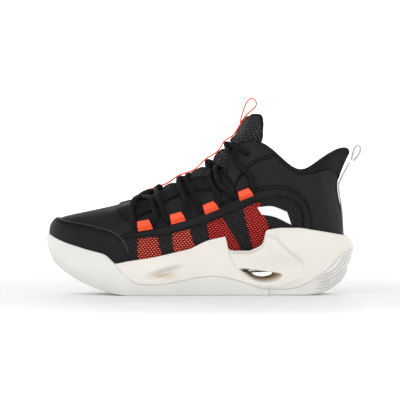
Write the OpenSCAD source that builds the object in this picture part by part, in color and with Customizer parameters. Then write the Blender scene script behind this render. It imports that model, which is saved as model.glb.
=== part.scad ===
// Left basketball high top, laced, standing on a flat floor. Toe towards -X, lateral side -Y, +Z up.
// Origin: on the floor plane, under the middle of the tread. Millimetres, EU 42.

/* [Upper] */
// Thickness of the outer leather and mesh panels
panel_t = 1.2; // [0.8:0.1:1.6]
// Thickness of the stitched-on overlays
overlay_t = 1.0; // [0.6:0.1:1.2]
// Thickness of the collar foam at the ankle
foam_t = 5.2; // [3:0.2:5.6]
// Thickness of the textile lining
lining_t = 1.0; // [0.8:0.1:1.2]

/* [Sole] */
// Thickness of the rubber outsole under the foot
tread_t = 4; // [3:0.1:4.5]
// Thickness of the outsole's side wall
wall_t = 3.2; // [2.4:0.1:3.4]
// Thickness of the removable insole
insole_t = 4.5; // [3:0.1:5]
// Thickness of the stiffening shank
shank_t = 1.2; // [0.8:0.1:1.5]

/* [Lacing] */
// Diameter of the round lace
lace_d = 4.4; // [3.6:0.1:4.8]
// Width of the webbing lace loops
loop_w = 13; // [10:0.5:14]
// Bore radius of the top eyelets
eyelet_r = 3.4; // [3:0.1:3.8]

/* [Pull tabs] */
// Width of the tongue strap and its pull loop
strap_w = 9; // [7:0.5:11]
// Width of the webbing down the back of the heel
heel_web_w = 13; // [10:0.5:16]
// Thickness of both webbings
web_t = 1.1; // [0.8:0.1:1.4]

/* [Hidden] */
layer_gap = 0.6;                                  // between stacked layers, so that curved faces stay clear
overlay_in = 0.7;                                 // overlays stand this far off the panels
puff_in = -(panel_t + layer_gap + 0.8);           // inner face of toe puff and heel counter
foam_out = -(panel_t + 0.7);
foam_in = foam_out - foam_t;
lining_thin = puff_in - 0.6;                      // outer face of the lining away from the foam
lining_thick = foam_in - 0.5;                     // outer face of the lining behind the foam
sides = ["lateral", "medial"];

LOOP_NODES = [for (s = sides, i = [1:4]) str("lace_loop_", s, "_", i)];

// ---- Lines plan: one row per station from the toe tip to the back of the heel.
// Each row holds the sole's plan point [x, lateral y, medial y], then three points of the upper,
// mid wall, shoulder and top edge, each [x, half breadth, z].
STATIONS = [
    [[-150, 9, 9],        [-140.5, 0, 73],   [-108, 0, 80.7],   [-66, 0, 91.5]],
    [[-143, -17, 32],     [-134, 20, 71],    [-104, 13, 79.8],  [-63, 8, 89.6]],
    [[-122, -35, 46],     [-113, 34, 65],    [-87, 24, 79.5],   [-52, 12.5, 93.2]],
    [[-88, -50, 53],      [-80, 43, 61],     [-58, 31, 85],     [-28, 15.5, 105]],
    [[-52, -57, 50.5],    [-46, 44.5, 63],   [-27, 34, 92],     [-4, 18, 114.5]],
    [[-12, -52, 41.5],    [-6, 40, 70],      [8, 33, 97],       [18, 20, 117]],
    [[22, -44.5, 36],     [24, 36, 76],      [28, 35, 110],     [31, 24, 143]],
    [[46, -42.5, 36],     [48, 35.5, 80],    [49, 35.5, 116],   [49, 29.5, 149.5]],
    [[66, -42.5, 38],     [67, 35.5, 82],    [68, 35.5, 112],   [67, 33, 142]],
    [[86, -43, 40],       [86, 35, 82],      [86, 34.5, 104],   [85, 35, 124.5]],
    [[104, -42.5, 41],    [103, 33.5, 82],   [102, 33, 100],    [102, 34.5, 117.5]],
    [[125, -38, 38],      [121, 27, 82],     [118.5, 25.5, 104], [121, 27.5, 129]],
    [[144, -21, 21],      [134, 13.5, 83],   [129.5, 12, 107],  [138, 12.5, 137.5]],
    [[150, 0, 0],         [138, 0, 84],      [133.5, 0, 108],   [145, 0, 136]]
];
LAST = len(STATIONS) - 1;
AROUND = 2 * LAST;
TOP = 4;

// Side-view lines of the sole, [x, z]
TREAD = [[-150, 50], [-148, 41], [-145, 35], [-140, 29], [-130, 21.5], [-115, 13], [-100, 6.8], [-85, 2.2],
         [-70, 0], [100, 0], [112, 1.2], [124, 4.5], [134, 10.5], [141, 18], [146, 27], [150, 38]];
RIM = [[-150, 60], [-140, 54.5], [-120, 47.5], [-100, 42], [-80, 36], [-60, 35.5], [-30, 41], [0, 48],
       [30, 54], [60, 60], [90, 65], [110, 63.5], [141, 58], [150, 57]];
BOARD = [[-150, 44], [-140, 39], [-120, 29], [-100, 22], [-80, 17.5], [-60, 16], [-30, 17], [0, 20],
         [40, 24], [90, 26], [150, 27]];
// Upper edge of the midsole, with its midfoot wing, the notch behind it and the heel cup
MIDSOLE_EDGE = [[-90, 30], [-82, 31], [-70, 33.5], [-50, 36.5], [-20, 43], [-8, 46], [0, 50], [12, 55],
                [22, 57.5], [25, 57], [27.5, 45], [35, 43.5], [46, 43.5], [56, 47], [61, 51], [64.5, 63],
                [80, 65.5], [95, 65.5], [110, 63.5], [125, 61], [141, 58], [150, 57]];
// Where the rubber outsole meets the foam midsole
PARTING = [[-150, 60], [-140, 54.5], [-130, 50.5], [-120, 47.5], [-110, 44.5], [-100, 42], [-93, 40],
           [-82, 30], [-75, 22.5], [-65, 13.8], [-58, 11], [-40, 10.5], [-20, 14], [0, 17.5], [12, 18.5],
           [25, 17], [45, 11.5], [62, 6.5], [80, 5.5], [92, 7], [104, 11.5], [118, 20], [130, 31],
           [140, 41], [150, 45.5]];
// How far the upper's wall stands in from the sole's outline
INSET = [[-150, 5], [-100, 6.5], [-50, 7.5], [20, 8.5], [100, 9.5], [150, 9.5]];

// ---- Curves
function slope(p, i) = (p[i + 1][1] - p[i][1]) / (p[i + 1][0] - p[i][0]);
function knot_slope(p, i) =
    i == 0 ? slope(p, 0)
    : i == len(p) - 1 ? slope(p, i - 1)
    : let (a = slope(p, i - 1), b = slope(p, i)) a * b <= 0 ? 0 : 2 * a * b / (a + b);
function span(p, x, i = 0) = i >= len(p) - 2 || x < p[i + 1][0] ? i : span(p, x, i + 1);
// A smooth line through side-view points that never overshoots them
function curve(p, at) =
    let (x = max(p[0][0], min(p[len(p) - 1][0], at)), i = span(p, x), h = p[i + 1][0] - p[i][0],
         t = (x - p[i][0]) / h)
    (1 + 2 * t) * (1 - t) ^ 2 * p[i][1] + t * (1 - t) ^ 2 * h * knot_slope(p, i)
    + t * t * (3 - 2 * t) * p[i + 1][1] + t * t * (t - 1) * h * knot_slope(p, i + 1);

function mix(a, b, t) = a + (b - a) * t;
function smooth(t) = let (c = max(0, min(1, t))) c * c * (3 - 2 * c);
function wrap(i, n) = ((i % n) + n) % n;
function unit(v) = v / norm(v);
function basis(f) = [(1 - f) ^ 3, 3 * f ^ 3 - 6 * f ^ 2 + 4, -3 * f ^ 3 + 3 * f ^ 2 + 3 * f + 1, f ^ 3] / 6;

// Control points whose uniform cubic B-spline runs close to the given closed loop of points
function fair_loop(p) = let (n = len(p))
    [for (i = [0:n - 1]) p[i] + (p[i] - (p[wrap(i - 1, n)] + 4 * p[i] + p[wrap(i + 1, n)]) / 6)];
function loop_at(q, t) = let (n = len(q), i = floor(t), b = basis(t - i))
    b[0] * q[wrap(i - 1, n)] + b[1] * q[wrap(i, n)] + b[2] * q[wrap(i + 1, n)] + b[3] * q[wrap(i + 2, n)];

// A loop of all stations: lateral side from toe to heel, then medial side back to the toe
function both_sides(lateral, medial) = concat(lateral, [for (k = [LAST - 1:-1:1]) medial[k]]);

// The last's centre line swings to the medial side at the toe and to the lateral side at the arch
function centre(x) = 9 * (max(0, -x - 45) / 105) ^ 2 - 3 * exp(-((x - 15) / 45) ^ 2);

// ---- Sole outline in plan, and its outer wall
PLAN = fair_loop(both_sides([for (s = STATIONS) [s[0][0], s[0][1]]],
    [for (s = STATIONS) [s[0][0], s[0][2]]]));
function plan_at(t, inset = 0) =
    let (d = loop_at(PLAN, t + 0.001) - loop_at(PLAN, t - 0.001), n = unit([d[1], -d[0]]))
    loop_at(PLAN, t) - inset * n;
function at_height(p, z) = [p[0], p[1], z];

belly = 0.45;                                     // share of the wall's height where it is widest
tread_inset = 6;                                  // the tread's edge stands in by this
rim_t = 1.5;                                      // thickness of the sole's upper edge
rim_clear = overlay_in + overlay_t + 0.5;         // room inside that edge for the upper
function rim_inset(t) = curve(INSET, plan_at(t)[0]) - rim_clear - rim_t;
function wall_inset(t, q) = q < belly ? tread_inset * (1 - q / belly) ^ 2
    : rim_inset(t) * ((min(q, 1) - belly) / (1 - belly)) ^ 1.6;
// A point of the outer wall at share q of its height, pushed inwards by `depth`
function wall_at(t, q, depth = 0) =
    let (p = plan_at(t, wall_inset(t, q)), z = mix(curve(TREAD, p[0]), curve(RIM, p[0]), q))
    at_height(plan_at(t, wall_inset(t, q) + depth), z);
// The height share at which the wall crosses a side-view line
function share_of(line, t, q = 0.5, n = 4) =
    n == 0 ? q
    : let (x = plan_at(t, wall_inset(t, q))[0], lo = curve(TREAD, x), hi = curve(RIM, x))
      share_of(line, t, max(0.02, min(1.08, (curve(line, x) - lo) / (hi - lo))), n - 1);
// From the side to the toe bumper the walls first change their plan, then their height
function toe_part(t) = smooth((-75 - plan_at(t)[0]) / 6);
function toe_rise(t) = smooth((-80 - plan_at(t)[0]) / 10);

// ---- Skin of the upper: a bicubic B-spline over the stations, v = 0 at the feather line, 4 at the top edge
function skin_row(c) = both_sides(
    [for (s = STATIONS) [s[c][0], centre(s[c][0]) - s[c][1], s[c][2]]],
    [for (s = STATIONS) [s[c][0], centre(s[c][0]) + s[c][1], s[c][2]]]);
feather_step = 3.5;
ROW_0 = [for (t = [0:AROUND - 1])
    let (p = plan_at(t, curve(INSET, plan_at(t)[0]) + feather_step)) at_height(p, curve(BOARD, p[0]))];
ROW_1 = [for (t = [0:AROUND - 1])
    let (p = plan_at(t, curve(INSET, plan_at(t)[0]))) at_height(p, curve(RIM, p[0]))];
FAIR = [for (r = [ROW_0, ROW_1, skin_row(1), skin_row(2), skin_row(3)]) fair_loop(r)];
function fair_between(r, i) = FAIR[r][i] + (FAIR[r][i] - (FAIR[r - 1][i] + 4 * FAIR[r][i] + FAIR[r + 1][i])
                                             / 6);
INNER = [for (r = [1:3]) [for (i = [0:AROUND - 1]) fair_between(r, i)]];
NET = [
    [for (i = [0:AROUND - 1]) 2 * FAIR[0][i] - INNER[0][i]],
    FAIR[0], INNER[0], INNER[1], INNER[2], FAIR[4],
    [for (i = [0:AROUND - 1]) 2 * FAIR[4][i] - INNER[2][i]]
];
function skin_on(t, v) =
    let (j = min(floor(v), TOP - 1), b = basis(v - j))
    b[0] * loop_at(NET[j], t) + b[1] * loop_at(NET[j + 1], t)
    + b[2] * loop_at(NET[j + 2], t) + b[3] * loop_at(NET[j + 3], t);
function skin_normal(t, at) =
    let (v = max(0.002, min(TOP - 0.002, at)), e = 0.001)
    unit(cross(skin_on(t + e, v) - skin_on(t - e, v), skin_on(t, v + e) - skin_on(t, v - e)));
function skin(tv, off = 0) = skin_on(tv[0], tv[1]) + off * skin_normal(tv[0], tv[1]);

// Finds [t, v] of the lateral skin's point seen at [x, z] from the side
GUESSES = [for (t = [0.5:0.5:LAST - 0.25], v = [0:0.5:TOP]) let (s = skin_on(t, v)) [t, v, s[0], s[2]]];
function nearest(p) = let (d = [for (g = GUESSES) norm([g[2] - p[0], g[3] - p[1]])], m = min(d))
    [for (i = [0:len(d) - 1]) if (d[i] == m) [GUESSES[i][0], GUESSES[i][1]]][0];
function refine(p, g, n) = n == 0 ? g
    : let (e = 0.01, f = g[1] > 1 ? -e : e, s = skin_on(g[0], g[1]), st = skin_on(g[0] + e, g[1]),
           sv = skin_on(g[0], g[1] + f), a = (st[0] - s[0]) / e, c = (st[2] - s[2]) / e,
           b = (sv[0] - s[0]) / f, d = (sv[2] - s[2]) / f, det = a * d - b * c,
           dx = p[0] - s[0], dz = p[1] - s[2])
      abs(det) < 1 ? g
      : refine(p, [max(0, min(LAST, g[0] + small((d * dx - b * dz) / det))),
                   max(0, min(TOP, g[1] + small((a * dz - c * dx) / det)))], n - 1);
function small(d) = max(-0.3, min(0.3, d));
function locate(p) = refine(p, nearest(p), 8);

// A polyline resampled to n points, evenly along its length
function run(p, i = 0) = i >= len(p) - 1 ? [0]
    : let (rest = run(p, i + 1)) concat([0], [for (r = rest) r + norm(p[i + 1] - p[i])]);
function along(p, d, r, i = 0) = i >= len(p) - 2 || d <= r[i + 1]
    ? mix(p[i], p[i + 1], (d - r[i]) / (r[i + 1] - r[i])) : along(p, d, r, i + 1);
function resample(p, n) = let (r = run(p), total = r[len(r) - 1])
    [for (i = [0:n - 1]) along(p, total * min(1, i / (n - 1) + 1e-9), r)];
// Extra points between the given ones on a smooth open curve
function rounded(p, m = 3) = let (n = len(p), q = concat([2 * p[0] - p[1]], p, [2 * p[n - 1] - p[n - 2]]))
    concat([for (i = [0:n - 2], k = [0:m - 1]) let (t = k / m)
        (2 * q[i + 1] + (q[i + 2] - q[i]) * t + (2 * q[i] - 5 * q[i + 1] + 4 * q[i + 2] - q[i + 3]) * t * t
         + (3 * q[i + 1] - q[i] - 3 * q[i + 2] + q[i + 3]) * t * t * t) / 2], [p[n - 1]]);
// A seam drawn in side view, as n points [t, v] of the lateral skin
function seam(points, n) = [for (p = resample(rounded(points), n)) locate(p)];
function flip(tv) = [-tv[0], tv[1]];

// ---- Solids from grids of points
function quad(a, b, c, d) = [[a, b, c], [a, c, d]];
function join(lists) = [for (l = lists) each l];
// A sheet with thickness: outer and inner are equal grids, rows of columns
module sheet(outer, inner, closed = false) {
    rows = len(outer);
    cols = len(outer[0]);
    size = rows * cols;
    last = closed ? cols - 1 : cols - 2;
    function id(r, c) = r * cols + wrap(c, cols);
    faces = join(concat(
        [for (r = [0:rows - 2], c = [0:last]) quad(id(r, c), id(r + 1, c), id(r + 1, c + 1), id(r, c + 1))],
        [for (r = [0:rows - 2], c = [0:last])
            quad(size + id(r, c), size + id(r, c + 1), size + id(r + 1, c + 1), size + id(r + 1, c))],
        [for (c = [0:last]) quad(id(0, c), id(0, c + 1), size + id(0, c + 1), size + id(0, c))],
        [for (c = [0:last]) let (r = rows - 1)
            quad(id(r, c + 1), id(r, c), size + id(r, c), size + id(r, c + 1))],
        closed ? [] : [for (r = [0:rows - 2]) quad(id(r + 1, 0), id(r, 0), size + id(r, 0),
            size + id(r + 1, 0))],
        closed ? [] : [for (r = [0:rows - 2]) let (c = cols - 1)
            quad(id(r, c), id(r + 1, c), size + id(r + 1, c), size + id(r, c))]));
    polyhedron(points = concat(join(outer), join(inner)), faces = faces, convexity = 8);
}
// A solid through a stack of closed rings, both ends closed by a zip from side to side
module stack(rings) {
    n = len(rings[0]);
    top = len(rings) - 1;
    function id(r, c) = r * n + wrap(c, n);
    function distinct(f) = len(search(f[0], f, 0)) == 1 && len(search(f[1], f, 0)) == 1;
    function zip(r) = [for (c = [0:n / 2 - 1])
        each [for (f = quad(id(r, c), id(r, c + 1), id(r, n - c - 1), id(r, n - c))) if (distinct(f)) f]];
    faces = concat(
        join([for (r = [0:top - 1], c = [0:n - 1]) quad(id(r, c), id(r + 1, c), id(r + 1, c + 1),
            id(r, c + 1))]),
        zip(0), [for (f = zip(top)) [f[2], f[1], f[0]]]);
    polyhedron(points = join(rings), faces = faces, convexity = 10);
}
// A tube of oval section along points, flat against the given normals
module oval_tube(points, normals, w, h, n = 8) {
    last = len(points) - 1;
    function ahead(i) = unit(points[min(last, i + 1)] - points[max(0, i - 1)]);
    function across(i) = unit(cross(ahead(i), normals[i]));
    rings = [for (i = [0:last]) let (a = across(i), u = cross(a, ahead(i)), wi = is_list(w) ? w[i] : w)
        [for (k = [0:n - 1]) points[i] + a * (wi / 2 * cos(360 * k / n)) + u * (h / 2 * sin(360 * k / n))]];
    function id(r, c) = r * n + wrap(c, n);
    faces = concat(
        join([for (r = [0:last - 1], c = [0:n - 1]) quad(id(r, c), id(r, c + 1), id(r + 1, c + 1),
            id(r + 1, c))]),
        [[for (c = [n - 1:-1:0]) id(0, c)]], [[for (c = [0:n - 1]) id(last, c)]]);
    polyhedron(points = join(rings), faces = faces, convexity = 8);
}
// A skin panel between two edges of equal count, each a list of [t, v]
module panel(low, high, in, out, rows) {
    grid = [for (r = [0:rows]) [for (i = [0:len(low) - 1]) mix(low[i], high[i], r / rows)]];
    sheet([for (g = grid) [for (e = g) skin(e, out)]], [for (g = grid) [for (e = g) skin(e, in)]]);
}
// A whole edge from the medial end over the centre line to the lateral end
function across_centre(edge) = concat([for (i = [len(edge) - 1:-1:1]) flip(edge[i])], edge);
module side_panel(low, high, in, out, rows, side) {
    if (side == "lateral") panel(low, high, in, out, rows);
    else panel([for (i = [len(low) - 1:-1:0]) flip(low[i])], [for (i = [len(high) - 1:-1:0]) flip(high[i])],
               in, out, rows);
}
// A ribbon of webbing: a side-view path with thickness, extruded across
function path_normal(p, i) = let (d = unit(p[min(len(p) - 1, i + 1)] - p[max(0, i - 1)])) [-d[1], d[0]];
module ribbon(path, width, t) {
    n = len(path) - 1;
    outline = concat([for (i = [0:n]) path[i] + path_normal(path, i) * t / 2],
                     [for (i = [n:-1:0]) path[i] - path_normal(path, i) * t / 2]);
    rotate([90, 0, 0]) linear_extrude(height = width, center = true) polygon(outline);
}

// ---- Sole unit
ALL_T = [for (i = [0:AROUND * 3 - 1]) i / 3];
hug = 0.5;                                        // clearance between midsole and outsole
footbed = -1.6;                                   // top of the midsole under the board
function ring(line, inset, lift = 0) =
    [for (t = ALL_T) let (p = plan_at(t, inset)) at_height(p, curve(line, p[0]) + lift)];
// The sole's inner wall stands off the upper; level 1 is at height z, level 0 at the feather line
function skin_height(t, z, v = 0.9, n = 4) = n == 0 ? v
    : let (a = skin_on(t, v)[2], b = skin_on(t, v + 0.02)[2])
      skin_height(t, z, max(0.12, min(1.3, v + 0.02 * (z - a) / max(0.05, b - a))), n - 1);
function upper_room(t) = mix(0.9, rim_clear, smooth((-56 - plan_at(t)[0]) / 8));
function sole_inside(t, z, level) =
    skin([t, mix(0.12, skin_height(t, z), level)], upper_room(t));
// The face where outsole and midsole meet: 0 at its top edge, 1 lower down, 2 on the floor
function turn_room(t) = let (x = plan_at(t)[0]) 3 * smooth((-71 - x) / 3) * smooth((x + 93) / 3);
function cup(t, k, clear = 0) =
    let (grow = clear > 0 ? clear + turn_room(t) : 0, toe = toe_part(t), rise = toe_rise(t),
         q = share_of(PARTING, t), edge = wall_at(t, q)[2],
         foot = sole_inside(t, edge, 1 - rise), n = plan_at(t, 1) - plan_at(t),
         in_foot = [foot[0], foot[1]] + (grow + 0.4) * n, plate_z = curve(BOARD, foot[0]) + footbed,
         low_p = plan_at(t, tread_inset + wall_t + 1 + grow), low_z = curve(TREAD, low_p[0]) + tread_t + grow,
         toe_floor = in_foot + (grow > 0 ? 3 : 1.5) * n,
         side_p = plan_at(t, mix(wall_inset(t, q), tread_inset, min(1, k) / 2) + wall_t + grow),
         side_z = mix(edge + grow, low_z, 0.6 * k), toe_in = sole_inside(t, edge, 1 - min(1, k) * rise))
    k == 2 ? at_height(mix(low_p, toe_floor, toe),
        mix(low_z, curve(TREAD, toe_floor[0]) + tread_t + grow, rise))
    : grow > 0 ? at_height(mix(side_p, in_foot, toe), mix(side_z, plate_z - 0.4 - 0.4 * k, rise))
    : at_height(mix(side_p, [toe_in[0], toe_in[1]], toe), mix(side_z, toe_in[2], rise));
module outsole_shell() stack([
    ring(TREAD, 18),
    ring(TREAD, tread_inset + 1.5),
    for (q = [0, 0.3, 0.65, 1]) [for (t = ALL_T) wall_at(t, max(0.02, share_of(PARTING, t) * q))],
    for (k = [0, 0.5, 1, 2]) [for (t = ALL_T) cup(t, k)],
    ring(TREAD, 18, tread_t)
]);
split_foot = 69;                                  // the outsole's two rubber pieces part here at the ground
split_top = 64;                                   // and here at the parting line
split_gap = 0.5;
module split_side(front) {
    far = 200;
    x0 = front ? -far : far;
    shift = front ? 0 : split_gap;
    rotate([90, 0, 0]) linear_extrude(height = 2 * far, center = true)
        polygon([[x0, -1], [split_foot + shift, -1], [split_top + shift, 8], [split_top + shift, 90],
            [x0, 90]]);
}
module outsole_forefoot() color("gainsboro") intersection() { outsole_shell(); split_side(true); }
module outsole_heel() color("gainsboro") intersection() { outsole_shell(); split_side(false); }

// The midsole's wall above the parting line; under the toe bumper it is only a plate below the board
function midsole_wall(t, share) =
    let (q0 = share_of(PARTING, t), q1 = max(q0 + 0.03, share_of(MIDSOLE_EDGE, t)),
         w = wall_at(t, mix(q0, q1, share), 0.15), flat_p = cup(t, 0, hug))
    at_height(mix([w[0], w[1]], [flat_p[0], flat_p[1]], toe_part(t)),
              mix(w[2] + hug * (1 - share), flat_p[2] + 0.1 + 0.1 * share, toe_rise(t)));
function midsole_inside(t, level) =
    let (edge = midsole_wall(t, 1), up = sole_inside(t, edge[2], level), z0 = curve(BOARD, up[0]) + footbed,
         n = plan_at(t, 1) - plan_at(t), flat_p = cup(t, 0, hug) + at_height((1 - 0.5 * level) * n, 0.25))
    at_height(mix([up[0], up[1]], [flat_p[0], flat_p[1]], toe_part(t)),
              mix(level == 1 ? edge[2] : mix(z0, up[2], level), flat_p[2], toe_rise(t)));
hole = [[39, 24], [44, 24.8], [52, 24], [60, 23.2], [70, 22.2], [78, 21], [79.5, 19.4], [76.5, 17.2],
        [70.5, 15.6], [62, 14.8], [54.5, 15.8], [48, 18.4], [43, 21.6]];
module shank_solid(extra) {
    lift = footbed - 0.3 - shank_t;
    xs = [for (x = [-55:9:89]) x];
    rotate([90, 0, 0]) linear_extrude(height = 34 + 2 * extra, center = true)
        polygon(concat([for (x = xs) [x + (x < 0 ? -extra : extra), curve(BOARD, x) + lift - extra]],
                       [for (i = [len(xs) - 1:-1:0]) let (x = xs[i])
                           [x + (x < 0 ? -extra : extra),
                            curve(BOARD, x) + lift + shank_t + (extra > 0 ? 3 : 0)]]));
}
module shank_plate() color("dimgray") shank_solid(0);
module midsole() color("ivory") difference() {
    stack([
        ring(TREAD, 18 + hug, tread_t + hug),
        for (k = [2, 1, 0.5, 0]) [for (t = ALL_T) cup(t, k, hug)],
        for (q = [0, 0.5, 1]) [for (t = ALL_T) midsole_wall(t, q)],
        for (level = [1, 0.5, 0]) [for (t = ALL_T) midsole_inside(t, level)],
        ring(BOARD, 24, footbed)
    ]);
    rotate([90, 0, 0]) linear_extrude(height = 200, center = true) polygon(hole);
    shank_solid(0.25);
}
board_t = 1.4;
function lining_floor(t) = curve(INSET, plan_at(t)[0]) + feather_step - lining_thin + lining_t;
module insole_board() color("wheat") stack([
    ring(BOARD, 24, 0), [for (t = ALL_T) let (p = plan_at(t, lining_floor(t) + 0.6))
        at_height(p, curve(BOARD, p[0]))],
    [for (t = ALL_T) let (p = plan_at(t, lining_floor(t) + 0.6)) at_height(p, curve(BOARD, p[0]) + board_t)],
    ring(BOARD, 24, board_t)]);
module insole() color("black") stack([
    ring(BOARD, 24, board_t + 0.4),
    [for (t = ALL_T) let (p = plan_at(t, lining_floor(t) + 1.4))
        at_height(p, curve(BOARD, p[0]) + board_t + 0.4)],
    [for (t = ALL_T) let (p = plan_at(t, lining_floor(t) + 1.2))
        at_height(p, curve(BOARD, p[0]) + board_t + 0.4 + insole_t)],
    ring(BOARD, 20, board_t + insole_t)]);

// ---- Upper: seams drawn in side view, [x, z] along the lateral side
WINDOW_TOP = [[-76, 57], [-60, 58.5], [-40, 61.5], [-20, 67], [0, 73.5], [20, 81], [40, 90.5], [60, 98],
              [78, 100], [92, 96.5], [101, 88], [105, 76], [105.5, 62], [105.5, 42]];
VAMP_LOW = [[-78, 48], [-76, 58.2], [-60, 59.8], [-40, 62.8], [-20, 68.3], [0, 74.8], [20, 82.3],
            [38, 91.2]];
QUARTER_LOW = [[40, 92], [60, 99.3], [78, 101.3], [93, 97.6], [102.4, 88.6], [106.4, 76], [106.8, 62],
               [106.8, 40], [118, 34], [134, 34]];
QUARTER_TOP = [[36.5, 99], [35, 106], [42, 117.5], [48, 124], [56, 129], [66, 132.4], [76, 133],
               [86, 122.5], [96, 117.8], [106, 117], [117, 120]];
PATCH_LOW = [[33.5, 106.5], [41, 118.6], [47, 125.3], [55.5, 130.4], [66, 133.8], [73, 135]];
PATCH_TOP = [[27.5, 117.5], [30, 135], [36, 146], [49, 148.6], [62, 145], [72, 137]];
CAP_EDGE = [[-132, 70.8], [-120, 69], [-110, 67.5], [-100, 65.5], [-90, 63], [-82, 60], [-77, 56],
            [-72.5, 50], [-70, 44], [-68.6, 39], [-68, 36]];
BAND_LOW = [[-72, 54.5], [-50, 56.5], [-30, 59.5], [-10, 65.2], [10, 71.5], [30, 79.5], [50, 88.7],
            [62, 92.8], [74, 94.8], [84, 93.8], [93, 89.5], [98.5, 82], [100.5, 73], [100.5, 67.2]];
BAND_TOP = [[-73, 60.5], [-50, 63.8], [-30, 68.8], [-10, 75.5], [10, 83.3], [30, 92.3], [50, 100.4],
            [62, 104], [76, 105.2], [88, 102.5], [98, 96], [105, 86], [108, 74], [108.4, 66.8]];
EYESTAY_LOW = [[-80, 80], [-77.5, 75.4], [-71, 72.6], [-60, 75.5], [-46, 82], [-32, 90.8], [-20, 96.5],
               [-6, 100.6], [10, 101], [26, 98.4], [34, 97.5]];
BADGE_LOW = [[56.5, 77.5], [73, 75], [87, 69]];
BADGE_TOP = [[59, 86.5], [72, 86], [84.5, 81]];
// Red stripes of the mesh: front edge and rear edge of each, from top to bottom
STRIPES = [
    [[[-59.5, 55], [-58.5, 30]], [[-41, 56], [-33, 32]]],
    [[[-26.5, 59], [-22.5, 34]], [[-10, 63], [0, 38]]],
    [[[7, 68.5], [14, 40]], [[22, 74], [42, 40]]],
    [[[42, 83], [52, 44]], [[55, 88], [66, 66]]]
];

hem = 0.3;                                        // lower edge of the panels, inside the sole
brow = 3.96;                                      // their upper edge, just under the top line
function even(a, b, n) = [for (i = [0:n - 1]) mix(a, b, i / (n - 1))];
cap_ridge = 2.06;                                 // v of the toe cap's edge on the ridge
toe_turn = 3.3;                                   // t where the vamp leaves the feather line
module vamp() color("#2b2b2c") {
    low = concat([for (t = even(0, toe_turn, 10)) [t, hem]], seam(VAMP_LOW, 14));
    high = concat([for (t = even(0, 5.1, 20)) [t, brow]], seam([[24, 114], [31, 106], [34.5, 100],
        [36.5, 96]], 4));
    panel(across_centre(low), across_centre(high), -panel_t, 0, 7);
}
module toe_cap() color("#262626") {
    low = [for (t = even(0, 3.55, 16)) [t, hem + 0.1 + 0.4 * smooth((t - 2.75) / 0.4)]];
    high = concat([[0, cap_ridge], [0.5, cap_ridge]], seam(CAP_EDGE, 14));
    panel(across_centre(low), across_centre(high), overlay_in, overlay_in + overlay_t, 6);
}
module eyestay() color("#242424") {
    low = concat([[0, 3.76], [0.6, 3.7], [1.15, 3.58], [1.6, 3.4], [1.95, 3.2]], seam(EYESTAY_LOW, 15));
    high = concat([for (t = even(0, 5.15, 17)) [t, brow]], seam([[26, 112], [31.5, 105.5], [35, 99]], 3));
    panel(across_centre(low), across_centre(high), overlay_in, overlay_in + overlay_t, 5);
}
module mesh_window(side) color("#1d1d1e")
    side_panel([for (t = even(3.5, 10.12, 22)) [t, hem]], seam(WINDOW_TOP, 22), -panel_t, 0, 5, side);
module mesh_stripes(side) color("#d8402c")
    for (s = STRIPES) side_panel(seam([s[0][1], s[1][1]], 3), seam([s[0][0], s[1][0]], 3), 0.3, 0.5, 4, side);
module window_band(side) color("#202020")
    side_panel(seam(BAND_LOW, 24), seam(BAND_TOP, 24), overlay_in, overlay_in + overlay_t, 1, side);
module quarter(side) color("#2e2e30")
    side_panel(concat(seam(QUARTER_LOW, 21), [[12.4, hem], [12.95, hem]]),
               concat(seam(QUARTER_TOP, 19), [[11.6, 3.62], [12.1, 3.42], [12.5, 3.25], [12.95, 3.18]]),
               -panel_t, 0, 6, side);
module ankle_patch(side) color("#29292a") difference() {
    side_panel(seam(PATCH_LOW, 9), seam(PATCH_TOP, 9), -panel_t, 0, 4, side);
    eyelet_bore(side);
}
module heel_tab() color("#1f1f20") {
    low = [[11.15, 3.78], [11.6, 3.68], [12.1, 3.48], [12.5, 3.31], [13, 3.24]];
    high = [for (t = even(11.25, 13, 5)) [t, brow]];
    panel(concat(low, [for (i = [3:-1:0]) [AROUND - low[i][0], low[i][1]]]),
          concat(high, [for (i = [3:-1:0]) [AROUND - high[i][0], high[i][1]]]), -panel_t, 0, 3);
}
module toe_puff() color("tan")
    panel([for (t = even(-2.5, 2.5, 15)) [t, 0.5]], [for (t = even(-2.5, 2.5, 15)) [t, 2.3]],
          puff_in, puff_in + 0.8, 4);
module heel_counter() color("tan")
    panel([for (t = even(9.5, AROUND - 9.5, 15)) [t, 0.4]], [for (t = even(9.5, AROUND - 9.5, 15)) [t, 1.9]],
          puff_in, puff_in + 0.8, 3);
foam_front = 7.75;
module collar_foam() color("dimgray")
    panel([for (t = even(foam_front, AROUND - foam_front, 25)) [t, 2.75]],
          [for (t = even(foam_front, AROUND - foam_front, 25)) [t, 3.86]], foam_in, foam_out, 3);
// The lining steps inwards behind the foam
function behind_foam(t, v) = let (s = t > LAST ? AROUND - t : t)
    smooth((v - 1.9) / 0.7) * smooth((s - 7) / 0.65);
function lining_off(t, v) = mix(lining_thin, lining_thick, behind_foam(t, v));
module lining() color("#303030") {
    rows = [0.04, 0.5, 1, 1.5, 2, 2.4, 2.8, 3.2, 3.6, 3.9];
    cols = [for (i = [0:AROUND * 2 - 1]) i / 2];
    difference() {
        sheet([for (v = rows) [for (t = cols) skin([t, v], lining_off(t, v))]],
              [for (v = rows) [for (t = cols) skin([t, v], lining_off(t, v) - lining_t)]], closed = true);
        for (s = sides) eyelet_bore(s);
    }
}
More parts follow.
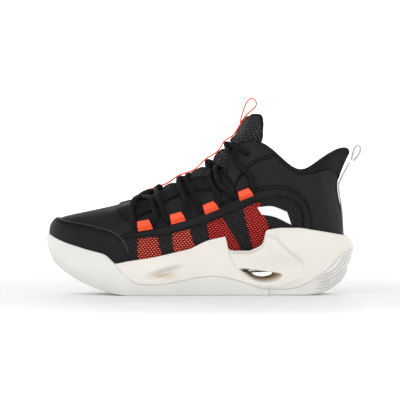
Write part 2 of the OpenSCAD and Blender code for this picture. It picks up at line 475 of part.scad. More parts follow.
// The top eyelets are round holes through patch and lining
eyelet_at = locate([46, 137]);
module eyelet_bore(side) {
    tv = side == "lateral" ? eyelet_at : flip(eyelet_at);
    n = skin_normal(tv[0], tv[1]);
    translate(skin(tv, 4)) rotate([0, acos(-n[2]), atan2(-n[1], -n[0])])
        cylinder(r = eyelet_r, h = 18, $fn = 32);
}
roll_w = [[6, 2.2], [8, 3.4], [10, 4.4], [13, 5]];
function half_way(t) = t > LAST ? AROUND - t : t;
function roll_depth(t) = mix(0.6 * panel_t, (foam_t + 3) / 2, smooth((half_way(t) - 7) / 0.8));
module collar_binding() color("#141414") {
    ts = [for (i = [0:44]) mix(6.3, AROUND - 6.3, i / 44)];
    mid = [for (t = ts) skin([t, 3.985], 0.3 - roll_depth(t))
        + [0, 0, 1.1 + 0.28 * curve(roll_w, half_way(t))]];
    ups = [for (t = ts) unit(skin([t, 4]) - skin([t, 3.7]))];
    oval_tube(mid, ups, [for (t = ts) 2 * roll_depth(t) + 1.2], 3.4);
}

// ---- Tongue: rows from the throat to the top, each [centre x, z], [shoulder x, half breadth, z], [edge ...]
TONGUE = [
    [[-70, 84.4], [-68, 11, 83], [-63, 20, 78.5]],
    [[-48, 94.6], [-44, 12, 92.6], [-36, 21, 87]],
    [[-24, 107.4], [-19, 12, 103.5], [-9, 21, 95]],
    [[-1.8, 118.8], [4, 12.5, 113], [16, 21, 101]],
    [[15.2, 134.2], [22, 13.5, 125], [34, 19.5, 112]],
    [[30, 148.4], [36, 15.5, 139.5], [48, 19, 131]],
    [[34.6, 156], [42, 18.5, 152], [59.5, 22, 150]],
    [[41, 165.3], [46.5, 18.5, 164], [60.5, 22, 162.5]],
    [[48, 175.2], [51.5, 14.5, 175.8], [60, 18, 175]]
];
function tongue_row(k) = let (r = TONGUE[k], c = r[0], s = r[1], e = r[2])
    [[e[0], -e[1], e[2]], [s[0], -s[1], s[2]], [c[0], 0, c[1]], [s[0], s[1], s[2]], [e[0], e[1], e[2]]];
function open_at(p, t) = let (n = len(p) - 1, i = min(floor(t), n - 1), f = t - i, b = basis(f),
    a = i == 0 ? 2 * p[0] - p[1] : p[i - 1], d = i + 2 > n ? 2 * p[n] - p[n - 1] : p[i + 2])
    b[0] * a + b[1] * p[i] + b[2] * p[i + 1] + b[3] * d;
function tongue_on(s, a) = open_at([for (k = [0:len(TONGUE) - 1]) open_at(tongue_row(k), a)], s);
function tongue_at(s, a, off) =
    let (e = 0.002, s0 = max(e, min(8 - e, s)), a0 = max(e, min(4 - e, a)),
         n = unit(cross(tongue_on(s0 + e, a0) - tongue_on(s0 - e, a0),
             tongue_on(s0, a0 + e) - tongue_on(s0, a0 - e))))
    tongue_on(s, a) + off * n;
module tongue_part(s0, s1, n, out, in) {
    as = even(3.96, 0.04, 13);
    ss = even(s0, s1, n);
    sheet([for (s = ss) [for (a = as) tongue_at(s, a, out)]],
        [for (s = ss) [for (a = as) tongue_at(s, a, in)]]);
}
face_t = 1.1;
pad_t = 3.6;
module tongue_face() color("#19191a") tongue_part(0.1, 5.8, 14, 0, -face_t);
module tongue_padding() color("dimgray") tongue_part(0.2, 5.75, 14, -face_t - 0.5, -face_t - 0.5 - pad_t);
module tongue_top_face() color("#19191a") tongue_part(6.12, 7.9, 5, 0, -face_t);
module tongue_top_padding() color("dimgray") tongue_part(6.14, 7.85, 5, -face_t - 0.5, -face_t - 0.5 - pad_t);
module tongue_binding() color("#111111") {
    pts = [for (a = even(0.1, 3.9, 17)) tongue_at(7.98, a, -2.4) + [0.4, 0, 1.9]];
    oval_tube(pts, [for (p = pts) [0.3, 0, 1]], 5.6, 2.6, 8);
}

// ---- Laces: the loops' centres and slopes in side view, and the tongue rows where the lace crosses the
// throat
LOOP_AT = [[-53.5, 68], [-22.5, 75.5], [9.5, 86], [43, 99.5]];
LOOP_SLOPE = [0.16, 0.28, 0.42, 0.38];
CROSS_AT = [1.14, 2.26, 3.6, 4.9];
bar_row = 0.42;
loop_rise = 11;                                   // webbing showing above the band
loop_base = 1.9;                                  // the loops stand on the overlays
loop_t = 0.8;
bore = lace_d + 1.2;
lace_rise = loop_base + loop_t + bore / 2;        // lace's centre above the skin inside a loop
off_lace = overlay_in + overlay_t + 0.6 + lace_d / 2;
loop_tv = [for (p = LOOP_AT) locate(p)];
loop_rear_tv = [for (i = [0:3]) locate(LOOP_AT[i] + 4 * [1, LOOP_SLOPE[i]])];
function side_tv(tv, side) = side == "lateral" ? tv : flip(tv);
// Rows of the frame: along the loop, up the skin, outwards, and the place on the skin
function loop_frame(i, side) =
    let (tv = side_tv(loop_tv[i], side), n = skin_normal(tv[0], tv[1]), p = skin(tv),
         up = unit(cross(n, skin(side_tv(loop_rear_tv[i], side)) - p)) * (side == "lateral" ? 1 : -1))
    [cross(up, n), up, n, p];
module lace_loop(i, side) color("#ff5a3c") {
    f = loop_frame(i, side);
    top = loop_base + 2 * loop_t + bore;
    multmatrix([[f[1][0], f[2][0], f[0][0], f[3][0]], [f[1][1], f[2][1], f[0][1], f[3][1]],
                [f[1][2], f[2][2], f[0][2], f[3][2]], [0, 0, 0, 1]])
        translate([0, 0, -loop_w / 2]) linear_extrude(height = loop_w) difference() {
            polygon([[-loop_rise / 2, loop_base], [bore / 2 + loop_t, loop_base],
                [bore / 2 + loop_t, top - 1],
                     [bore / 2 - 0.2, top], [-bore / 2 + 0.4, top], [-loop_rise / 2, loop_base + 1.2]]);
            translate([0, lace_rise]) circle(d = bore, $fn = 16);
        }
}
function side_name(s) = s < 0 ? "lateral" : "medial";
function loop_point(i, s, shift) = let (f = loop_frame(i, side_name(s)), k = s < 0 ? 1 : -1)
    f[3] + f[2] * lace_rise + f[0] * shift * k;
function on_upper(p, s, off) = skin(side_tv(locate(p), side_name(s)), off);
// The strand that starts on side s reaches crossing i on side s or -s in turn, and lies over or under
function lift(i, s) = ((i % 2 == 0) == (s < 0)) ? lace_d + 0.3 : 0;
function cross_point(i, from, along, up) =
    tongue_at(CROSS_AT[i] + 0.22 * along, 2 - from * along,
        lace_d / 2 + 0.75 + up * (1 - 0.6 * along * along));
// Side-view points between a loop's rear end and the crossing, and from there to the next loop
LEAVE = [[[-42.6, 75.6], [-43.4, 81.5], [-45.4, 87], [-46.6, 91], [-47.4, 94.4]],
         [[-12, 83.4], [-13.8, 90.8], [-16.6, 98], [-18.4, 103.4], [-19.4, 107]],
         [[18.5, 94], [16.5, 100], [12, 107.5]],
         [[51, 107], [49, 114], [42, 122], [35, 130.5]]];
ARRIVE = [[[-40.6, 99], [-39.6, 94.6], [-38.6, 90.6], [-36.8, 83.4], [-35, 77.6]],
          [[-12.2, 109.6], [-10.6, 105.4], [-8.2, 100], [-4.8, 93.4], [-1.2, 87.4]],
          [[20, 108.5], [24.6, 102.6], [29.6, 98.2]]];
// Where the lace rides over the throat's edge, before and after each crossing
edge_lift = 1.7;
EDGE_AT = [[2.27, 2.62], [3.36, 3.7], [4.6, 4.97], [5.8, 6.12]];
function over_edge(t, s) =
    let (a = s < 0 ? t : -t, n = skin_normal(a, 3.98), u = unit(skin([a, 4]) - skin([a, 3.8])))
    skin([a, 3.98], overlay_in + overlay_t) + (lace_d / 2 + edge_lift) * unit(n + u);
function strand(s) = concat(
    [over_edge(1.72, s), on_upper([-63, 86], s, off_lace + 1.4), on_upper([-64.5, 78], s, off_lace),
     on_upper([-63.5, 71], s, off_lace)],
    join([for (i = [0:3]) let (here = i % 2 == 0 ? s : -s)
        concat([for (d = [-3.6, -1.8, loop_w + 1.8, loop_w + 3.6]) loop_point(i, here, d - loop_w / 2)],
               [for (p = LEAVE[i]) on_upper(p, here, off_lace)],
               [over_edge(EDGE_AT[i][0], here)],
               [for (a = i < 2 ? [-0.5, 0, 0.5] : [-0.9, -0.5, 0, 0.5, 0.9])
                   cross_point(i, here, a, lift(i, s))],
               [over_edge(EDGE_AT[i][1], -here)],
               i < 3 ? [for (p = ARRIVE[i]) on_upper(p, -here, off_lace)] : [])]),
    [for (p = [[37, 142.2], [42.5, 140]]) on_upper(p, s, off_lace)],
    [on_upper([46, 137.4], s, 2), on_upper([46.4, 136.6], s, -4.5), on_upper([45.6, 131], s, tail_off),
     on_upper([43.5, 124], s, tail_off), on_upper([41.5, 116], s, tail_off)]);
tail_off = lining_thin - lining_t - 1.2 - lace_d / 2;
half_lace = [for (s = [-1, 1]) rounded(strand(s), 2)];
lace_path = concat([for (i = [len(half_lace[0]) - 1:-1:0]) half_lace[0][i]],
                   [tongue_at(bar_row, 2, lace_d / 2 + 0.4)], half_lace[1]);
function away(p) = unit([-0.5, (p[1] - centre(p[0])) / 12, 0.9]);
module shoelace() color("#101010") oval_tube(lace_path, [for (p = lace_path) away(p)], lace_d, lace_d);
aglet_l = 20;
aglet_d = 3.2;
module aglets() color("#101010") for (h = half_lace) {
    n = len(h) - 1;
    d = unit(h[n] - h[n - 1]);
    oval_tube([h[n] + 0.2 * d, h[n] + (aglet_l + 0.2) * d], [away(h[n]), away(h[n])], aglet_d, aglet_d, 12);
}

// ---- Webbing
// The strap lies on the tongue and bridges the crossings: tongue row and height above the tongue
strap_low = 0.3 + web_t / 2;
strap_high = strap_low + 2 * lace_d + 0.7;
STRAP = [[0.62, 0.02], [0.8, 0.4], [0.93, 0.93], [1.03, 1], [1.25, 1], [1.45, 0.84], [1.7, 0.68],
         [1.98, 0.86], [2.14, 1], [2.38, 1], [2.6, 0.8], [2.9, 0.6], [3.22, 0.8], [3.48, 1], [3.74, 1],
         [4, 0.78], [4.25, 0.6], [4.5, 0.78], [4.76, 1.05], [5.02, 1.05], [5.25, 0.7], [5.5, 0.3],
         [5.8, 0.05]];
function strap_point(r) = let (p = tongue_at(r[0], 2, mix(strap_low, strap_high, r[1]))) [p[0], p[2]];
module tongue_strap() color("#ff5a3c") ribbon([for (r = STRAP) strap_point(r)], strap_w, web_t);
module tongue_strap_end() color("#ff5a3c")
    ribbon([for (row = even(6.14, 7.2, 8)) strap_point([row, 0.05])], strap_w, web_t);
LOOP_TOP = [[40.6, 170.6], [41.4, 175], [43, 180.4], [45.4, 186.2], [48.6, 190], [52, 190.2], [54.6, 187.6],
            [54.6, 184.4], [52.8, 181.6], [50, 179.4], [47.4, 177.4]];
module tongue_pull_loop() color("#ff5a3c") ribbon(rounded(LOOP_TOP, 3), strap_w, web_t);
HEEL = [for (v = even(1.12, 3.86, 14)) let (p = skin([LAST, v], web_t / 2 + 0.6)) [p[0], p[2]]];
module heel_webbing() color("white") ribbon(HEEL, heel_web_w, web_t);
HEEL_LOOP = [[147.6, 130.6], [149, 136], [150.4, 141.5], [153, 144.6], [156, 143.4], [156.2, 139.4],
             [153.6, 134.4], [149.6, 129.6]];
module heel_pull_loop() color("white") ribbon(rounded(HEEL_LOOP, 3), heel_web_w, web_t);
module side_badge() color("white")
    panel(seam(BADGE_LOW, 5), seam(BADGE_TOP, 5), 1, 1.8, 2);

outsole_forefoot();
outsole_heel();
midsole();
shank_plate();
insole_board();
insole();
lining();
toe_puff();
heel_counter();
collar_foam();
vamp();
toe_cap();
eyestay();
for (s = sides) {
    quarter(s);
    mesh_window(s);
    mesh_stripes(s);
    window_band(s);
    ankle_patch(s);
    for (i = [1:4]) lace_loop(i - 1, s);
}
heel_tab();
collar_binding();
tongue_face();
tongue_padding();
tongue_top_face();
tongue_top_padding();
tongue_binding();
tongue_strap();
tongue_strap_end();
tongue_pull_loop();
shoelace();
aglets();
heel_webbing();
heel_pull_loop();
side_badge();
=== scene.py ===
"""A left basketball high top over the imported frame. Toe towards -X, lateral side -Y.
Lengths are millimetres until a mesh is made, then metres."""

import bmesh
import bpy
import numpy as np
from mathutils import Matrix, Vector


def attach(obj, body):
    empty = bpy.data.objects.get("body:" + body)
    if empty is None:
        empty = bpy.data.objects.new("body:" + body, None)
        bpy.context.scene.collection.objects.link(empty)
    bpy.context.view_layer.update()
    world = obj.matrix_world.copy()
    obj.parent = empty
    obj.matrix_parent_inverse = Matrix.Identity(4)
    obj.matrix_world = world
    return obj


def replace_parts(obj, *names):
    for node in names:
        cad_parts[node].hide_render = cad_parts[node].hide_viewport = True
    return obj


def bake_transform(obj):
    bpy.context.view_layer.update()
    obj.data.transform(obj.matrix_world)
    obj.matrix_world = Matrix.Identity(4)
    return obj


MM = 0.001
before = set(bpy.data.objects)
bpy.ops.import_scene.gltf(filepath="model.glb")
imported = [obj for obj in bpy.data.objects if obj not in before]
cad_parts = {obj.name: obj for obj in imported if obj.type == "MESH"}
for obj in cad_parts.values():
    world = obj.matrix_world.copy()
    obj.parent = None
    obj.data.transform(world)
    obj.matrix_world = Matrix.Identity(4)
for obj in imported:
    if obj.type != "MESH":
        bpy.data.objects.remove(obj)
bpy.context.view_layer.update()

# ---------------------------------------------------------------- camera
camera_data = bpy.data.cameras.new("camera")
camera_data.lens = 554
camera_data.sensor_width = 36
camera = bpy.data.objects.new("camera", camera_data)
bpy.context.collection.objects.link(camera)
look_at = Vector((0.0001, 0, 0.0916))
camera.location = look_at + Vector((0, -6, 0.157))
camera.rotation_euler = (look_at - camera.location).to_track_quat("-Z", "Y").to_euler()
bpy.context.scene.camera = camera

# ---------------------------------------------------------------- lines plan, as in the CAD
# sole [x, lateral y, medial y], then mid wall, shoulder and top edge [x, half breadth, z]
STATIONS = [
    [(-150, 9, 9), (-140.5, 0, 73), (-108, 0, 80.7), (-66, 0, 91.5)],
    [(-143, -17, 32), (-134, 20, 71), (-104, 13, 79.8), (-63, 8, 89.6)],
    [(-122, -35, 46), (-113, 34, 65), (-87, 24, 79.5), (-52, 12.5, 93.2)],
    [(-88, -50, 53), (-80, 43, 61), (-58, 31, 85), (-28, 15.5, 105)],
    [(-52, -57, 50.5), (-46, 44.5, 63), (-27, 34, 92), (-4, 18, 114.5)],
    [(-12, -52, 41.5), (-6, 40, 70), (8, 33, 97), (18, 20, 117)],
    [(22, -44.5, 36), (24, 36, 76), (28, 35, 110), (31, 24, 143)],
    [(46, -42.5, 36), (48, 35.5, 80), (49, 35.5, 116), (49, 29.5, 149.5)],
    [(66, -42.5, 38), (67, 35.5, 82), (68, 35.5, 112), (67, 33, 142)],
    [(86, -43, 40), (86, 35, 82), (86, 34.5, 104), (85, 35, 124.5)],
    [(104, -42.5, 41), (103, 33.5, 82), (102, 33, 100), (102, 34.5, 117.5)],
    [(125, -38, 38), (121, 27, 82), (118.5, 25.5, 104), (121, 27.5, 129)],
    [(144, -21, 21), (134, 13.5, 83), (129.5, 12, 107), (138, 12.5, 137.5)],
    [(150, 0, 0), (138, 0, 84), (133.5, 0, 108), (145, 0, 136)],
]
LAST = len(STATIONS) - 1
AROUND = 2 * LAST
TOP = 4
TREAD = [(-150, 50), (-148, 41), (-145, 35), (-140, 29), (-130, 21.5), (-115, 13), (-100, 6.8), (-85, 2.2),
         (-70, 0), (100, 0), (112, 1.2), (124, 4.5), (134, 10.5), (141, 18), (146, 27), (150, 38)]
RIM = [(-150, 60), (-140, 54.5), (-120, 47.5), (-100, 42), (-80, 36), (-60, 35.5), (-30, 41), (0, 48),
       (30, 54), (60, 60), (90, 65), (110, 63.5), (141, 58), (150, 57)]
BOARD = [(-150, 44), (-140, 39), (-120, 29), (-100, 22), (-80, 17.5), (-60, 16), (-30, 17), (0, 20), (40, 24),
         (90, 26), (150, 27)]
MIDSOLE_EDGE = [(-90, 30), (-82, 31), (-70, 33.5), (-50, 36.5), (-20, 43), (-8, 46), (0, 50), (12, 55),
                (22, 57.5), (25, 57), (27.5, 45), (35, 43.5), (46, 43.5), (56, 47), (61, 51), (64.5, 63),
                (80, 65.5), (95, 65.5), (110, 63.5), (125, 61), (141, 58), (150, 57)]
PARTING = [(-150, 60), (-140, 54.5), (-130, 50.5), (-120, 47.5), (-110, 44.5), (-100, 42), (-93, 40),
           (-82, 30), (-75, 22.5), (-65, 13.8), (-58, 11), (-40, 10.5), (-20, 14), (0, 17.5), (12, 18.5),
           (25, 17), (45, 11.5), (62, 6.5), (80, 5.5), (92, 7), (104, 11.5), (118, 20), (130, 31),
           (140, 41), (150, 45.5)]
INSET = [(-150, 5), (-100, 6.5), (-50, 7.5), (20, 8.5), (100, 9.5), (150, 9.5)]
FEATHER_STEP = 3.5
BELLY = 0.45
TREAD_INSET = 6
RIM_GAP = 3.6
TREAD_T = 4.5
INNER_RING, BOARD_RING = 19, 24  # insets of the innermost rings of the sole's solids


def curve(points, x):
    """A smooth line through side-view points that never overshoots them."""
    xs, zs = np.array(points, float).T
    h = np.diff(xs)
    s = np.diff(zs) / h
    m = np.empty(len(xs))
    m[0], m[-1] = s[0], s[-1]
    m[1:-1] = np.where(s[:-1] * s[1:] <= 0, 0, 2 * s[:-1] * s[1:] / (s[:-1] + s[1:] + 1e-12))
    x = np.clip(np.asarray(x, float), xs[0], xs[-1])
    i = np.clip(np.searchsorted(xs, x, side="right") - 1, 0, len(h) - 1)
    t = (x - xs[i]) / h[i]
    return ((1 + 2 * t) * (1 - t) ** 2 * zs[i] + t * (1 - t) ** 2 * h[i] * m[i]
            + t * t * (3 - 2 * t) * zs[i + 1] + t * t * (t - 1) * h[i] * m[i + 1])


def smooth(t):
    t = np.clip(t, 0, 1)
    return t * t * (3 - 2 * t)


def mix(a, b, t):
    return a + (b - a) * t


def unit(v):
    return v / (np.linalg.norm(v, axis=-1, keepdims=True) + 1e-12)


def basis(f):
    return np.stack([(1 - f) ** 3, 3 * f**3 - 6 * f**2 + 4, -3 * f**3 + 3 * f**2 + 3 * f + 1, f**3]) / 6


def fair_loop(p):
    return p + (p - (np.roll(p, 1, 0) + 4 * p + np.roll(p, -1, 0)) / 6)


def loop_at(q, t):
    t = np.asarray(t, float) % len(q)
    i = np.floor(t).astype(int)
    b = basis(t - i)
    return sum(b[j][..., None] * q[(i - 1 + j) % len(q)] for j in range(4))


def both_sides(lateral, medial):
    return np.array(list(lateral) + list(medial[-2:0:-1]), float)


def centre(x):
    x = np.asarray(x, float)
    return 9 * (np.clip(-x - 45, 0, None) / 105) ** 2 - 3 * np.exp(-(((x - 15) / 45) ** 2))


PLAN = fair_loop(both_sides([s[0][:2] for s in STATIONS], [(s[0][0], s[0][2]) for s in STATIONS]))


def plan_at(t, inset=0.0):
    d = loop_at(PLAN, np.asarray(t) + 1e-3) - loop_at(PLAN, np.asarray(t) - 1e-3)
    n = unit(np.stack([d[..., 1], -d[..., 0]], -1))
    return loop_at(PLAN, t) - n * np.asarray(inset, float)[..., None]


def at_height(p, z):
    return np.concatenate([p, np.broadcast_to(z, p.shape[:-1])[..., None]], -1)


def skin_net():
    ts = np.arange(AROUND)
    inset = curve(INSET, plan_at(ts)[:, 0])
    low, rim = plan_at(ts, inset + FEATHER_STEP), plan_at(ts, inset)
    rows = [at_height(low, curve(BOARD, low[:, 0])), at_height(rim, curve(RIM, rim[:, 0]))]
    for c in (1, 2, 3):
        lateral = [(s[c][0], centre(s[c][0]) - s[c][1], s[c][2]) for s in STATIONS]
        medial = [(s[c][0], centre(s[c][0]) + s[c][1], s[c][2]) for s in STATIONS]
        rows.append(both_sides(lateral, medial))
    q = np.stack([fair_loop(r) for r in rows])
    inner = q[1:-1] + (q[1:-1] - (q[:-2] + 4 * q[1:-1] + q[2:]) / 6)
    q = np.concatenate([q[:1], inner, q[-1:]])
    return np.concatenate([2 * q[:1] - q[1:2], q, 2 * q[-1:] - q[-2:-1]])


NET = skin_net()


def skin_on(t, v):
    t, v = np.broadcast_arrays(np.asarray(t, float) % AROUND, np.clip(np.asarray(v, float), 0, TOP))
    i = np.floor(t).astype(int)
    j = np.minimum(np.floor(v).astype(int), TOP - 1)
    bi, bj = basis(t - i), basis(v - j)
    return sum((bi[a] * bj[b])[..., None] * NET[j + b, (i - 1 + a) % AROUND]
               for a in range(4) for b in range(4))


def skin_normal(t, v):
    e = 1e-3
    v = np.clip(np.asarray(v, float), 2e-3, TOP - 2e-3)
    return unit(np.cross(skin_on(np.asarray(t) + e, v) - skin_on(np.asarray(t) - e, v),
                         skin_on(t, v + e) - skin_on(t, v - e)))


def skin(t, v, off=0.0):
    """Points of the upper's surface: t runs round the shoe, v from the sole's edge to the top line."""
    return skin_on(t, v) + skin_normal(t, v) * np.asarray(off, float)[..., None]


GUESS_T, GUESS_V = [g.ravel() for g in np.meshgrid(np.arange(0.5, LAST - 0.2, 0.25),
                                                   np.arange(0.25, TOP + 0.1, 0.25))]
GUESS = skin_on(GUESS_T, GUESS_V)[:, [0, 2]]


def locate(points):
    """[t, v] of the lateral skin's points that are seen at [x, z] from the side."""
    p = np.atleast_2d(np.array(points, float))
    k = np.argmin(((p[:, None] - GUESS[None]) ** 2).sum(-1), 1)
    t, v = GUESS_T[k].copy(), GUESS_V[k].copy()
    for _ in range(12):
        e, f = 0.01, np.where(v > 1, -0.01, 0.01)
        s = skin_on(t, v)[:, [0, 2]]
        st = (skin_on(t + e, v)[:, [0, 2]] - s) / e
        sv = (skin_on(t, v + f)[:, [0, 2]] - s) / f[:, None]
        d = p - s
        det = st[:, 0] * sv[:, 1] - sv[:, 0] * st[:, 1]
        det = np.where(np.abs(det) < 1, 1e9, det)
        dt = (sv[:, 1] * d[:, 0] - sv[:, 0] * d[:, 1]) / det
        dv = (st[:, 0] * d[:, 1] - st[:, 1] * d[:, 0]) / det
        t = np.clip(t + np.clip(dt, -0.3, 0.3), 0, LAST)
        v = np.clip(v + np.clip(dv, -0.3, 0.3), 0, TOP)
    return np.stack([t, v], -1)


def rounded(points, m=3):
    """A Catmull-Rom curve through points, with m steps between two of them."""
    p = np.array(points, float)
    q = np.concatenate([[2 * p[0] - p[1]], p, [2 * p[-1] - p[-2]]])
    t = (np.arange(m) / m)[None, :, None]
    a, b, c, d = (q[k:len(q) - 3 + k, None] for k in range(4))
    c_r = (2 * b + (c - a) * t + (2 * a - 5 * b + 4 * c - d) * t**2 + (3 * b - a - 3 * c + d) * t**3) / 2
    return np.concatenate([c_r.reshape(-1, p.shape[1]), p[-1:]])


def run_along(p):
    return np.concatenate([[0], np.cumsum(np.linalg.norm(np.diff(p, axis=0), axis=1))])


def resample(points, n=None, step=None):
    p = np.array(points, float)
    run = run_along(p)
    n = n or max(2, int(run[-1] / step) + 1)
    at = np.linspace(0, run[-1], n)
    return np.stack([np.interp(at, run, p[:, k]) for k in range(p.shape[1])], -1)


def seam(points, n):
    return locate(resample(rounded(points, 8), n))


def on_side(tv, side):
    return tv if side == "lateral" else np.stack([-tv[..., 0], tv[..., 1]], -1)


# ---------------------------------------------------------------- meshes
EDGE_ANGLE = np.radians(50)


def make(name, points, faces, material, body="shoe", uv=None):
    mesh = bpy.data.meshes.new(name)
    mesh.from_pydata([tuple(p) for p in np.asarray(points) * MM], [], [tuple(f) for f in faces])
    mesh.update()
    if uv is not None:
        layer = mesh.uv_layers.new(name="UVMap")
        loops = np.empty(len(mesh.loops), int)
        mesh.loops.foreach_get("vertex_index", loops)
        layer.data.foreach_set("uv", (np.asarray(uv)[loops] * 0.1).ravel())
    mesh.polygons.foreach_set("use_smooth", np.ones(len(mesh.polygons), bool))
    obj = bpy.data.objects.new(name, mesh)
    bpy.context.collection.objects.link(obj)
    mesh.materials.append(material)
    if body:
        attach(obj, body)
    return obj


def outwards(obj):
    bm = bmesh.new()
    bm.from_mesh(obj.data)
    bmesh.ops.recalc_face_normals(bm, faces=bm.faces)
    bm.to_mesh(obj.data)
    bm.free()
    return obj


def grid_faces(rows, cols, closed=False, start=0, flip=False):
    r, c = np.meshgrid(np.arange(rows - 1), np.arange(cols if closed else cols - 1), indexing="ij")
    r, c = r.ravel(), c.ravel()
    d = (c + 1) % cols
    f = np.stack([r * cols + c, (r + 1) * cols + c, (r + 1) * cols + d, r * cols + d], 1) + start
    return f[:, ::-1] if flip else f


def sheet(name, outer, inner, material, slot, closed=False, bevel=0.35, body="shoe", uv=None):
    """A skin with thickness between two equal grids, its edges slightly rounded."""
    rows, cols = outer.shape[:2]
    size = rows * cols
    faces = [grid_faces(rows, cols, closed), grid_faces(rows, cols, closed, size, True)]
    ids = np.arange(size).reshape(rows, cols)
    ends = [ids[0], ids[-1]]
    rims = [np.append(a, a[0]) for a in ends] if closed else [*ends, ids[:, 0], ids[:, -1]]
    faces += [np.stack([a[:-1], a[1:], a[1:] + size, a[:-1] + size], 1) for a in rims]
    points = np.concatenate([outer.reshape(-1, 3), inner.reshape(-1, 3)])
    if uv is not None:
        uv = np.concatenate([uv.reshape(-1, 2)] * 2)
    obj = outwards(make(name, points, np.concatenate(faces), material, body, uv))
    if bevel:
        m = obj.modifiers.new("bevel", "BEVEL")
        m.width, m.segments, m.limit_method, m.angle_limit = bevel * MM, 2, "ANGLE", EDGE_ANGLE
        m.harden_normals = True
    return obj


def shade_smooth(obj):
    obj.data.polygons.foreach_set("use_smooth", np.ones(len(obj.data.polygons), bool))
    obj.data.set_sharp_from_angle(angle=EDGE_ANGLE)


def crumple(p):
    """Slow unevenness of stretched leather."""
    bend = 1.3 * np.sin(p[..., 2] * 0.09 + 0.5)
    return np.sin(p[..., 0] * 0.11 + bend) * np.sin(p[..., 2] * 0.11 * 1.4 + p[..., 1] * 0.07)


def panel(name, low, high, inner, outer, rows, material, slot, uneven=0.0, **kw):
    """A patch of the upper between two edges of [t, v] points."""
    k = np.linspace(0, 1, rows)[:, None, None]
    tv = mix(low[None], high[None], k)
    t, v = tv[..., 0], tv[..., 1]
    n, base = skin_normal(t, v), skin_on(t, v)
    lift = outer + uneven * crumple(base)
    return sheet(name, base + n * np.broadcast_to(lift, t.shape)[..., None], base + n * inner, material,
                 slot, **kw)


def mirror_edge(edge):
    """A lateral edge from the centre line, continued over the medial side."""
    return np.concatenate([on_side(edge, "medial")[:0:-1], edge])


def stack(name, rings, material):
    """A solid through closed rings of equal count, each end zipped from side to side."""
    rings = [np.asarray(r, float) for r in rings]
    n, count = len(rings[0]), len(rings)
    faces = [tuple(f) for f in grid_faces(count, n, True)]
    for start in (0, (count - 1) * n):
        for c in range(n // 2):
            quad = dict.fromkeys(start + i % n for i in (c, c + 1, n - c - 1, n - c))
            if len(quad) > 2:
                faces.append(tuple(quad))
    return outwards(make(name, np.concatenate(rings), faces, material))


def tube(name, path, radius, material, sides, normals, flat=1.0, body="shoe"):
    """A round or oval tube; flat is its thickness along the normals over its width."""
    p = np.asarray(path, float)
    ahead = unit(np.gradient(p, axis=0))
    across = unit(np.cross(ahead, normals))
    up = np.cross(across, ahead)
    a = np.linspace(0, 2 * np.pi, sides, endpoint=False)
    r = np.broadcast_to(np.asarray(radius, float), (len(p),))[:, None, None]
    ring = p[:, None] + r * (across[:, None] * np.cos(a)[None, :, None]
                             + flat * up[:, None] * np.sin(a)[None, :, None])
    run = run_along(p)
    uv = np.stack(np.broadcast_arrays(a[None] * np.max(r), run[:, None]), -1)
    faces = [tuple(f) for f in grid_faces(len(p), sides, True)]
    faces += [tuple(range(sides)), tuple(range((len(p) - 1) * sides, len(p) * sides))]
    return outwards(make(name, ring.reshape(-1, 3), faces, material, body, uv.reshape(-1, 2)))


def ribbon(name, path, width, thick, material, slot, body="shoe"):
    """Webbing along a side-view path [x, z], laid across Y."""
    p = np.asarray(path, float)
    d = unit(np.gradient(p, axis=0))
    n = np.stack([-d[:, 1], d[:, 0]], -1)
    across = np.linspace(-0.5, 0.5, 9)
    run = run_along(p)
    grids = []
    for sign in (1, -1):
        x, z = (p + sign * n * thick / 2).T
        grids.append(np.stack([np.stack([x, np.full(len(p), w * width), z], -1) for w in across], 1))
    uv = np.stack(np.broadcast_arrays((across * width)[None], run[:, None]), -1)
    return sheet(name, *grids, material, slot, body=body, bevel=0.3, uv=uv)


def stitch_row(name, tv, off):
    """Thread lying along a seam of [t, v] points, one small raised capsule for each stitch."""
    pitch, length, radius = 3.0, 2.0, 0.6
    t, v = np.asarray(tv).T
    p, normals = skin(t, v, off - 0.05), skin_normal(t, v)
    run = run_along(p)
    at = np.arange(pitch / 2, run[-1], pitch)
    pick = lambda a, s: np.stack([np.interp(s, run, a[:, k]) for k in range(3)], -1)
    mid, n = pick(p, at), unit(pick(normals, at))
    d = unit(pick(p, at + 0.3) - pick(p, at - 0.3))
    side = np.cross(d, n)
    verts = []
    for shift, swell in ((-0.5, 0.35), (-0.25, 1), (0.25, 1), (0.5, 0.35)):
        for a in np.linspace(0, 2 * np.pi, 6, endpoint=False):
            verts.append(mid + d * shift * length + (side * np.cos(a) + n * np.sin(a)) * radius * swell)
    block = [*grid_faces(4, 6, True), np.arange(6), np.arange(18, 24)]
    faces = [tuple(f + 24 * k) for k in range(len(mid)) for f in block]
    return outwards(make(name, np.stack(verts, 1).reshape(-1, 3), faces, THREAD))


